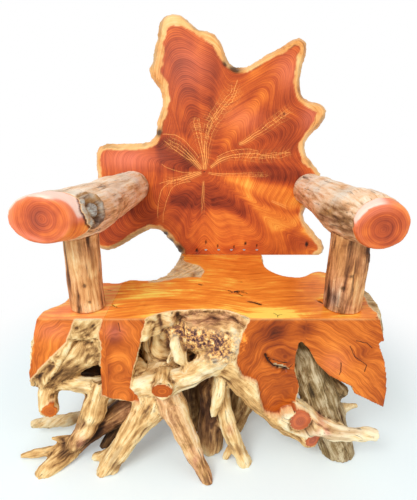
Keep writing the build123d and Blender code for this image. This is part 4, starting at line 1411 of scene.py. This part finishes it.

# %% [markdown]
# Painted shade gathers in hollows and creases, in the dips of the carving, and far back under the
# seat, and painted highlight lies on the ridges. A crease is where the skin lies deeper than its
# softened copy. The hole under the brow, the slot beside the left buttress and the gaps beside the
# front strand get the darkest painted shade.

# %% Shade in hollows and creases
STRAND_SIDE_SHADES = [(0.75, (-112, 318), (14, 40)), (0.8, (-60, 345), (10, 36)), (0.5, (-150, 268), (30, 16))]
# Painted shade far back under the seat.
recess_shade = 0.25 * fade(mm[:, 1], 60, 190) * rough * (mm[:, 2] < 360)
# Painted shade in the dips of the carving, added to the dark of the wide grooves.
dark = np.clip(dark + recess_shade + groove + 0.55 * fade(-height, 1.6, 4.4) * rough, 0, 1)
grey[grey_hollow] = 0.85
tone[grey_hollow] = 0.75
crease = creases(stump, points, links, 16)
# Painted shade in creases, and painted highlight on ridges.
dark = np.clip(dark + 0.80 * fade(crease, 0.6, 3.0) * rough, 0, 1)
tone = tone + (0.30 * fade(-crease, 0.3, 1.8) - 0.45 * fade(crease, 0.4, 2.4)) * rough
# Painted shade in the hole under the brow, in the slot, and beside the front strand.
hole_drop = mm[:, 2] + 0.68 * (mm[:, 1] - 20)
hole_at = np.hypot((mm[:, 0] + 41) / 13, (hole_drop - 303) / 11)
brow_hole_shade = fade(-hole_at, -1.25, -0.85) * between(mm[:, 1], 14, 200) * rough
slot_shade = np.exp(-(((mm[:, 0] + 345) / 66) ** 4) - ((mm[:, 2] - 220) / 30) ** 4) * (mm[:, 1] > 55) * rough
strand = owned["front_strand"] | owned["strand_fork"]
strand_side_shade = np.clip(blobs(front_view, STRAND_SIDE_SHADES), 0, 0.9) * between(mm[:, 1], 4, 140) * rough * ~strand
for shade in (brow_hole_shade, slot_shade, strand_side_shade):
    dark = np.maximum(dark, shade)
tone = tone - 0.9 * slot_shade - 1.2 * brow_hole_shade
print("crease depths", np.quantile(crease[rough], [0.02, 0.1, 0.5, 0.9, 0.98]).round(2), "mm")

# %% [markdown]
# Small stains finish the roots: feet and tips rubbed pink, a scar on the right foot, a purple
# stain at the prongs, a red one beside the cut end, and red fibres and old bark under the edge.

# %% Small stains
RIGHT_END = 380
foot = fade(-mm[:, 2], -80, -50) * owned["centre_leg"]
scar = spot(front_view, (58, 106), (11, 13)) * owned["right_foot_root"]
purple = spot(front_view, (-354, 74), (34, 24)) * (mm[:, 1] < 40)
tip = fade(-mm[:, 2], -135, -110) * owned["hanging_root"]
tap_foot = fade(-mm[:, 2], -70, 40) * owned["tap_root"]
brow_side = spot(front_view, (88, 362), (28, 42)) * owned["bark_brow"]
stained = spot(front_view, (308, 128), (26, 22)) * (mm[:, 1] < 60)
stained = np.clip(stained * (1 + 1.2 * fractal(mm / 16, 2, 211)), 0, 1)
grey[is_seat & rough & (mm[:, 0] > RIGHT_END)] = 0.5
bark = pit_zone * rough
dark = np.clip(dark - 0.75 * tap_foot - 0.50 * brow_side, 0, 1)
redder = np.maximum(pink, 0.8 * fibre_zone) + 0.9 * (foot + tip) + 1.2 * (scar + stained) + 1.1 * purple
pink = np.where(rough, np.clip(redder, 0, 1), pink)
tone = tone + 1.15 * tap_foot + 0.80 * brow_side - 0.30 * (foot + scar) - 0.60 * purple
tone = tone - (0.75 * stained + 0.70 * fibre_zone) * rough
print("stained", int((stained > 0.3).sum()), "points")

# %% [markdown]
# The island of rough wood beside the tongue is cream with dark and grey places, and the one at the
# right end of the seat is grey. The cut ends of branches are brown, the two on the right more so.

# %% Islands of rough wood and cut ends
ISLAND_DARKS = [
    (1.3, (-50, 292), (9, 20)),
    (1.0, (-92, 450), (18, 40)),
    (0.8, (-104, 330), (12, 14)),
    (0.6, (-70, 400), (12, 16)),
]
ISLAND_GREYS = [(0.8, (-32, 315), (14, 26))]
left_island = rough_top & (mm[:, 0] < 0)
bark = np.where(left_island, 0.25, bark)
dark = np.where(left_island, np.clip(blobs(top_view, ISLAND_DARKS), 0, 1), dark)
grey = np.where(left_island, np.clip(0.2 + blobs(top_view, ISLAND_GREYS), 0, 1), grey)
grey = np.where(rough_top & (mm[:, 0] > 0), 0.55, grey)
tone = np.where(left_island, 0.55, tone)
tone[end_mask > 0] = 0.22
browner = (end_mask > 0) & (mm[:, 0] > 200)
tone[browner] = -0.05
pink[browner] = 0.45
print("tone", tone.min().round(2), tone.max().round(2))

# %% [markdown]
# The joined-on end of the seat shows as a thin dark line across the top and down the front. A
# painted highlight runs along the sharp edge between seat and front, in the sapwood colours. The
# skin now keeps all its marks.

# %% Seat seam
SEAM_FOOT = 364
seam_side = mm[:, 0] - SEAM_X
from_arris = np.hypot(SEAT_TOP * 1000 - mm[:, 2], mm[:, 1])
# Painted highlight along the edge between seat top and front.
painted_arris_highlight = 0.6 * near(from_arris, 0, 3.2) * (on_top | on_front)
seam_shows = on_top | (on_front & (mm[:, 2] > SEAM_FOOT))
near_seam = 0.40 * (1 - fade(np.abs(seam_side), 4, 7)) * seam_shows
cracked = near_crack > 0.02
seam_side = np.where(cracked, crack_side, seam_side * 2.2)
near_seam = np.where(cracked, near_crack, near_seam)
mark(
    stump,
    paint=(polished, tone, pink),
    stain=(grey, dark, bark),
    figure=(ring, 0.0, painted_arris_highlight),
    vein=(0.0, 0.0, 0.0),
    line=(seam_side, near_seam, 0.0),
    grain=(grain[:, 0] + owner * 0.37, grain[:, 1], grain[:, 2]),
)
print("seam", int((near_seam > 0.3).sum()), "points")

# %% [markdown]
# The skin is too fine for one piece, so it becomes three parts. The two cuts hide where they show
# least: along the seat's own seam, and behind the front roots. A flat cap closes each part, and
# each node goes to the part that holds most of it.

# %% Split the stump
REAR_CUT = 205
REACH_OVER = 0.12


def cut_off(mesh, name, planes):
    """A closed part of a mesh, on the inner side of each plane."""
    form = bmesh.new()
    form.from_mesh(mesh)
    for place, way in planes:
        geometry = form.verts[:] + form.edges[:] + form.faces[:]
        made = bmesh.ops.bisect_plane(form, geom=geometry, plane_co=place, plane_no=way, clear_outer=True)
        rim_edges = [g for g in made["geom_cut"] if isinstance(g, bmesh.types.BMEdge)]
        caps = bmesh.ops.triangle_fill(form, edges=rim_edges, use_beauty=True, normal=way)["geom"]
        for cap in caps:
            if isinstance(cap, bmesh.types.BMFace):
                for edge in cap.edges:
                    edge.smooth = False
    part = bpy.data.meshes.new(name)
    form.to_mesh(part)
    form.free()
    return part


side_plane = at(SEAM_X, 0, 0)
rear_plane = at(0, REAR_CUT, 0)
left_part = cut_off(stump, "left", [(side_plane, (1, 0, 0))])
front_part = cut_off(stump, "front", [(side_plane, (-1, 0, 0)), (rear_plane, (0, 1, 0))])
rear_part = cut_off(stump, "rear", [(side_plane, (-1, 0, 0)), (rear_plane, (0, -1, 0))])
left_nodes = [name for name in stump_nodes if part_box(name)[1].x < side_plane.x + REACH_OVER]
others = [name for name in stump_nodes if name not in left_nodes]
rear_nodes = [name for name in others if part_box(name)[0].y > rear_plane.y - REACH_OVER]
front_nodes = [name for name in others if name not in rear_nodes]
put("stump_left", left_part, finishes["stump"], "root_wood", *left_nodes)
put("stump_front", front_part, finishes["stump"], "root_wood", *front_nodes)
put("stump_rear", rear_part, finishes["stump"], "root_wood", *rear_nodes)
print("left", left_nodes, "rear", rear_nodes)

# %% [markdown]
# ## Arms and posts
# The arms are whole logs with their bark off, and the posts are thinner ones. Each log gets its own
# skin, with its grain measured along the line between its ends. It is carved like the roots, and
# its knots are of three kinds: a crater with a swollen ring, an eye, and a plain hole.

# %% Logs
LOG_VOXEL = 0.0036


class Log:
    """The skin of one log, its grain, and the marks that it keeps."""

    def __init__(self, name, start, end):
        self.name = name
        self.seed = sum(ord(letter) for letter in name)
        self.mesh = wrapped(name + "_skin", [name], LOG_VOXEL)
        self.links = edges_of(self.mesh)
        places = points_of(self.mesh)
        self.places = relax(places, self.links, np.full(len(places), 0.5), 2)
        reshape(self.mesh, self.places)
        self.ways = normals_of(self.mesh)
        start = np.array(at(*start))
        axis = np.array(at(*end)) - start
        axis /= np.linalg.norm(axis)
        side_way = np.cross(axis, [0.3, 0.2, 0.93] if abs(axis[2]) < 0.8 else [0, 1, 0])
        side_way /= np.linalg.norm(side_way)
        offset = self.places - start
        over = np.cross(axis, side_way)
        self.grain = np.stack([offset @ axis, offset @ side_way, offset @ over], axis=1)
        self.cut = np.zeros(len(places))
        self.rings = self.cut

    def darken(self, shade):
        """Makes the log at least as dark as a shade."""
        self.dark = np.maximum(self.dark, shade)

    def crater(self, local, middle, size):
        """A sunken grey knot in a ring of swollen wood, torn in its middle and cracked across."""
        ragged = np.linalg.norm(local - middle, axis=1) / size
        ragged += 0.10 * fractal(local / 14, 2, self.seed + 3)
        torn = fractal(local / 9, 2, self.seed + 5)
        crack = near(local[:, 2], middle[2] + 0.80 * size, 5) * fade(-ragged, -1.15, -0.95)
        whole = fade(-ragged, -1.08, -0.95)
        self.height += 6.0 * near(ragged, 0.85, 0.20) - 7.0 * near(ragged, 0.55, 0.12)
        self.height += 2.5 * torn * fade(-ragged, -1.1, -0.9) - 5.0 * crack
        self.darken(near(ragged, 0.58, 0.12))
        self.darken(near(ragged, 1.06, 0.06))
        self.darken((0.55 + 0.6 * torn) * fade(-ragged, -1.05, -0.90) * fade(ragged, 0.60, 0.72))
        self.darken(crack)
        self.grey = np.maximum(self.grey, whole)
        self.cut = self.cut * (1 - whole)
        self.pink = self.pink * (1 - whole)
        self.tone = self.tone - 0.15 * whole

    def eye(self, local, middle, size):
        """A small knot with a raised dark ring."""
        swirl = np.linalg.norm(local - middle, axis=1) / size
        self.height += 3.0 * near(swirl, 0.9, 0.3)
        self.darken(0.75 * near(swirl, 0.85, 0.16))

    def hole(self, local, middle, size):
        """A small dark hole where a twig was."""
        swirl = np.linalg.norm(local - middle, axis=1) / size
        self.height -= 5.0 * near(swirl, 0, 1)
        self.darken(fade(-swirl, -1.0, -0.4))

    def carve(self, hold, knots):
        """Pushes the skin in and out along the grain and at its knots, where it isn't held."""
        grain_mm = self.grain * 1000
        self.strands = np.abs(fractal(grain_mm / [200, 11, 11], 2, self.seed + 7))
        self.height = 3.6 * fractal(grain_mm / [90, 50, 50], 2, self.seed) - 2.6 * self.strands
        self.height += 0.7 * fractal(grain_mm / [120, 4.6, 4.6], 1, self.seed + 13) + 0.6
        self.height *= 1 - self.cut
        local = measured(self.places)
        kinds = {"crater": self.crater, "eye": self.eye, "hole": self.hole}
        for middle, size, kind in knots:
            kinds[kind](local, middle, size)
        self.places = self.places + self.ways * (self.height * hold)[:, None] / 1000
        reshape(self.mesh, self.places)

    def keep(self, finish):
        """Paints shade into the creases and highlight onto the ridges, darkens the deep strands, keeps all
        marks, and puts the log in place of its node.
        """
        crease = creases(self.mesh, self.places, self.links, 14)
        # Painted shade in the creases; the deep strands darken too, and the ridges get a painted highlight.
        self.dark = np.clip(self.dark + 0.7 * fade(crease, 0.5, 2.2) * (1 - self.cut), 0, 1)
        self.dark = np.clip(self.dark + 0.35 * fade(self.strands, 0.5, 1.0) * (1 - self.cut), 0, 1)
        self.tone = self.tone + 0.20 * fade(-crease, 0.3, 1.5)
        mark(
            self.mesh,
            paint=(self.cut, self.tone, self.pink),
            stain=(self.grey, self.dark, 0.0),
            figure=(self.rings, 0.0, 0.0),
            vein=(0.0, 0.0, 0.0),
            line=(NO_LINE, 0.0, 1.0),
            grain=self.grain.T,
        )
        put(self.name + "_wood", self.mesh, finishes[finish], "log_wood", self.name)


print("logs ready")

# %% [markdown]
# The front ends of the arms are sawn, rounded over and polished, so rings show there, and a bright
# rim of sapwood lies round the heart. Everything else is fibre along the log, with knots, painted
# light on top and painted shade underneath. The rear ends are torn and dark, with painted shade
# where they meet the slab. The right arm gets painted shade, with a little grey, on its inner side.

# %% Arms
ARM_ENDS = {
    "arm_left": ((-360, -66, 696), (-268, 520, 676)),
    "arm_right": ((371, -66, 684), (360, 520, 668)),
}
ARM_KNOTS = {
    "arm_left": [((-266, 5, 708), 40, "crater")],
    "arm_right": [((310, -50, 686), 7, "hole"), ((299, 52, 703), 10, "hole"), ((318, 44, 668), 9, "hole")],
}
ARM_PITHS = {"arm_left": (-353, 702), "arm_right": (372, 679)}
ARM_DISCS = {"arm_left": (72, 50), "arm_right": (54, 48)}
POLISH_DEPTHS = {"arm_left": (46, 0.150), "arm_right": (23, 0.075)}
HEART_TONES = {"arm_left": (-0.12, 0.38, 0.15, 0.75), "arm_right": (-0.38, 0.34, 0.20, 0.80)}
HEART_PINKS = {"arm_left": 0.25, "arm_right": 0.10}
TORN_END_DARKS_AND_SHADE = {"arm_left": 0.75, "arm_right": 0.25}
YEAR_ON_ARMS = 4.4
for name, arm_ends in ARM_ENDS.items():
    log = Log(name, *arm_ends)
    low, high = measured(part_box(name))
    local = measured(log.places)
    behind = local[:, 1] - low[1]
    flat_at = local[:, [0, 2]] - ARM_PITHS[name]
    depth, slant = POLISH_DEPTHS[name]
    polish_end = depth + slant * flat_at[:, 0]
    log.cut = 1 - fade(behind + 5 * fractal(local / 26, 2, 3) - polish_end, -3, 3)
    rough = 1 - log.cut
    near_end = near(behind, 0, 18)
    log.places = relax(log.places, log.links, 0.5 * near_end, 12)
    hold = fade(high[1] - local[:, 1], 4, 26) * (1 - 0.9 * near_end)
    oval = np.linalg.norm(flat_at / ARM_DISCS[name], axis=1)
    oval += np.maximum(behind - 14, 0) / 90 + 0.10 * fractal(local / 34, 2, 13)
    heart = 1 - fade(oval, 0.74, 1.10) * fade(log.ways[:, 2], -0.35, 0.25)
    log.rings = (np.linalg.norm(flat_at, axis=1) + 0.8 * np.maximum(behind, 0)) / YEAR_ON_ARMS
    base, strength, start, end = HEART_TONES[name]
    inner = base + strength * fade(oval, start, end) + 0.35 * fade(oval, 0.95, 1.3)
    inner += 0.25 * fractal(local / [26, 90, 26], 3, 33)
    sawn_pink = HEART_PINKS[name] * heart + 1.85 * (1 - heart)
    # Painted light on the top of the arm, and painted shade on its underside.
    painted_top_light = fade(log.ways[:, 2], -0.2, 0.9)
    underside_shade = fade(fractal(local / 48, 2, 27), 0.35, 0.9) * fade(-log.ways[:, 2], -0.3, 0.4)
    # The torn rear end: dark loose bark, and painted shade where the arm meets the slab.
    torn = fade(local[:, 1] - high[1] + 34 * fractal(local / 30, 2, 23), -44, -14) * rough
    log.tone = np.where(log.cut > 0.5, heart * inner + (1 - heart) * 0.75, 0.60 * painted_top_light + 0.05)
    log.pink = np.where(log.cut > 0.5, sawn_pink, 0.28 + 0.35 * fractal(local / 60, 2, 8))
    log.grey = np.clip(0.40 * fractal(local / 55, 2, 17), 0, 0.5) * rough
    log.dark = np.clip(np.clip(0.55 * underside_shade, 0, 0.6) * rough + TORN_END_DARKS_AND_SHADE[name] * torn, 0, 1)
    if name == "arm_right":
        golden = (1 - heart) * log.cut * fade(flat_at[:, 0], -24, 36)
        # Painted shade on the inner side of the right arm, streaked, with a little grey.
        weathered = spot(local, (302, 10, 684), (34, 110, 30)) * rough
        streaked = 0.55 + 0.75 * fractal(local / [12, 50, 9], 3, 19)
        log.pink = log.pink - 1.45 * golden
        log.tone = log.tone - 0.05 * golden - 0.40 * weathered
        log.dark = np.clip(log.dark + 1.5 * weathered * streaked, 0, 1)
        log.grey = np.clip(log.grey + 0.45 * weathered * streaked, 0, 1)
    log.carve(hold, ARM_KNOTS[name])
    log.keep("arms")

# %% [markdown]
# The posts are thinner logs that stand on the seat. Their weathered streaks run up and down, and
# they get painted shade under the arms. The carving fades out at both ends, where the joints are.

# %% Posts
POST_KNOTS = {
    "post_left": [
        ((-311, 26, 505), 7, "hole"), ((-331, 30, 478), 8, "hole"), ((-301, 26, 461), 6, "hole"),
        ((-332, 30, 444), 6, "hole"),
    ],
    "post_right": [
        ((387, 40, 577), 15, "eye"), ((336, 24, 501), 8, "hole"), ((330, 30, 445), 8, "eye"),
        ((352, 22, 536), 6, "hole"),
    ],
}
POST_LEANS = {"post_left": -4, "post_right": 8}
POST_STREAKS = {"post_left": (77, -0.10), "post_right": (87, -0.24)}
POST_DEPTH = 68
POST_TOP = 660
for name, knots in POST_KNOTS.items():
    low, high = measured(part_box(name))
    x = (low[0] + high[0]) / 2
    log = Log(name, (x, POST_DEPTH, SEAT_HEIGHT), (x + POST_LEANS[name], POST_DEPTH, POST_TOP))
    local = measured(log.places)
    hold = fade(local[:, 2] - SEAT_HEIGHT, 1, 12) * fade(high[2] - local[:, 2], 2, 24)
    seed, base = POST_STREAKS[name]
    streaks = fractal(log.grain * 1000 / [160, 15, 15], 3, seed)
    # Painted shade under the arm.
    shade_under_arm = 0.5 * fade(local[:, 2], 570, 640) * fade(-streaks, -0.4, 0.4)
    log.tone = base + 0.30 * streaks + 0.25 * fractal(local / 40, 2, 55)
    log.pink = np.clip(0.30 + 0.4 * fractal(log.grain * 1000 / [90, 30, 30], 2, 97), 0, 0.8)
    log.grey = 0.8 * spot(local[:, [0, 2]], (319, 467), (16, 30))
    log.dark = np.clip(0.70 * fade(-streaks, 0.30, 0.70) + shade_under_arm, 0, 0.85)
    log.carve(hold, knots)
    log.keep("posts")

# %% [markdown]
# ## Joinery
# Dowels, screws and plugs keep the shapes of the frame and only get their finishes: plain straight
# wood for dowels, darker end grain for the plugs and brushed zinc for the screws.

# %% Dowels, plugs and screws


def straight_wood(name, dark_colour, light_colour):
    """Plain wood with its grain along the piece."""
    finish = Finish(name, Roughness=0.5)
    place = finish.add("ShaderNodeTexCoord", {}, "Object")
    grain_lines = finish.noise(finish.scaled(place, 1.0, 1.0, 0.12), 420.0, 4.0, 0.6)
    finish.use("Base Color", finish.ramp(grain_lines, [(0.3, dark_colour), (0.7, light_colour)]))
    finish.bump(grain_lines, 0.4, 0.0004)
    return finish.material


def brushed_zinc(name):
    """Zinc with fine scratches, which also make it rougher and brighter in lines."""
    finish = Finish(name, Metallic=1.0)
    place = finish.add("ShaderNodeTexCoord", {}, "Object")
    scratches = finish.noise(finish.scaled(place, 1.0, 1.0, 0.2), 900.0, 3.0, 0.6)
    stops = [(0.3, (0.50, 0.48, 0.44)), (0.7, (0.74, 0.72, 0.68))]
    finish.use("Base Color", finish.ramp(scratches, stops))
    finish.use("Roughness", finish.blend(scratches, 0.22, 0.42))
    finish.bump(scratches, 0.3, 0.0002)
    return finish.material


dowel_finish = straight_wood("dowel_wood_finish", (0.50, 0.31, 0.15), (0.72, 0.52, 0.30))
plug_finish = straight_wood("plug_wood_finish", (0.30, 0.10, 0.04), (0.58, 0.22, 0.08))
zinc_finish = brushed_zinc("zinc_finish")
for name, node in nodes.items():
    if "dowel" in name:
        chosen = dowel_finish
    elif "plug" in name:
        chosen = plug_finish
    elif "screw" in name:
        chosen = zinc_finish
    else:
        continue
    node.data.materials.clear()
    node.data.materials.append(chosen)
    print(name, chosen.name)

# %% [markdown]
# ## Floor and light
# The chair stands on a plain white floor that fades into a white background. The light is soft
# and comes from all round, with one large lamp above the front left for a little shape.

# %% Floor
FLOOR_SIZE = 12.0
floor_form = bmesh.new()
bmesh.ops.create_grid(floor_form, x_segments=1, y_segments=1, size=FLOOR_SIZE)
floor_mesh = bpy.data.meshes.new("floor")
floor_form.to_mesh(floor_mesh)
floor_form.free()
floor = bpy.data.objects.new("floor", floor_mesh)
bpy.context.scene.collection.objects.link(floor)
floor_finish = Finish("floor_finish", Roughness=1.0)
floor_finish.shader.inputs["Specular IOR Level"].default_value = 0.0
place = floor_finish.add("ShaderNodeTexCoord", {}, "Object")
distance = floor_finish.add("ShaderNodeVectorMath", {0: place}, "Value", operation="LENGTH")
tint = floor_finish.noise(place, 0.8, 2.0, 0.5)
floor_colours = [(0.3, (0.86, 0.975, 0.998)), (0.7, (0.87, 0.980, 1.000))]
floor_finish.use("Base Color", floor_finish.ramp(tint, floor_colours))
glow = floor_finish.tree.nodes.new("ShaderNodeEmission")
blend_node = floor_finish.tree.nodes.new("ShaderNodeMixShader")
path = floor_finish.tree.nodes.new("ShaderNodeLightPath")
seen = floor_finish.maths("MAXIMUM", path.outputs["Is Camera Ray"], path.outputs["Is Glossy Ray"])
far = floor_finish.maths("MAXIMUM", floor_finish.step(distance, 0.50, 1.15), 0.2)
far = floor_finish.maths("MULTIPLY", far, seen)
floor_finish.tree.links.new(far, blend_node.inputs[0])
floor_finish.tree.links.new(floor_finish.shader.outputs[0], blend_node.inputs[1])
floor_finish.tree.links.new(glow.outputs[0], blend_node.inputs[2])
output = floor_finish.tree.nodes["Material Output"]
floor_finish.tree.links.new(blend_node.outputs[0], output.inputs["Surface"])
floor_mesh.materials.append(floor_finish.material)
print("floor", FLOOR_SIZE * 2, "m wide")

# %% [markdown]
# The sky lights the chair evenly, and the camera sees it as pure white. A large soft lamp stands
# high at the front left, and a weak one at the right keeps the shadows open.

# %% Light
world = bpy.data.worlds.new("studio")
bpy.context.scene.world = world
world.use_nodes = True
sky = world.node_tree.nodes["Background"]
sky.inputs["Color"].default_value = (1.0, 1.0, 1.0, 1.0)
white = world.node_tree.nodes.new("ShaderNodeBackground")
white.inputs["Color"].default_value = (1.0, 1.0, 1.0, 1.0)
white.inputs["Strength"].default_value = 1.0
sky.inputs["Strength"].default_value = 0.66
choose = world.node_tree.nodes.new("ShaderNodeMixShader")
path = world.node_tree.nodes.new("ShaderNodeLightPath")
links_of = world.node_tree.links
links_of.new(path.outputs["Is Camera Ray"], choose.inputs[0])
links_of.new(sky.outputs[0], choose.inputs[1])
links_of.new(white.outputs[0], choose.inputs[2])
links_of.new(choose.outputs[0], world.node_tree.nodes["World Output"].inputs["Surface"])


def lamp(name, place, target, size, power):
    """A square soft lamp that faces a target."""
    data = bpy.data.lights.new(name, "AREA")
    data.size = size
    data.energy = power
    lamp_object = bpy.data.objects.new(name, data)
    lamp_object.location = place
    lamp_object.rotation_euler = (Vector(target) - Vector(place)).to_track_quat("-Z", "Y").to_euler()
    bpy.context.scene.collection.objects.link(lamp_object)


lamp("key", (-1.3, -2.2, 2.6), (0, 0, 0.5), 1.6, 64)
lamp("fill", (2.2, -1.8, 1.6), (0, 0, 0.5), 2.0, 13)
bpy.context.scene.view_settings.view_transform = "Standard"
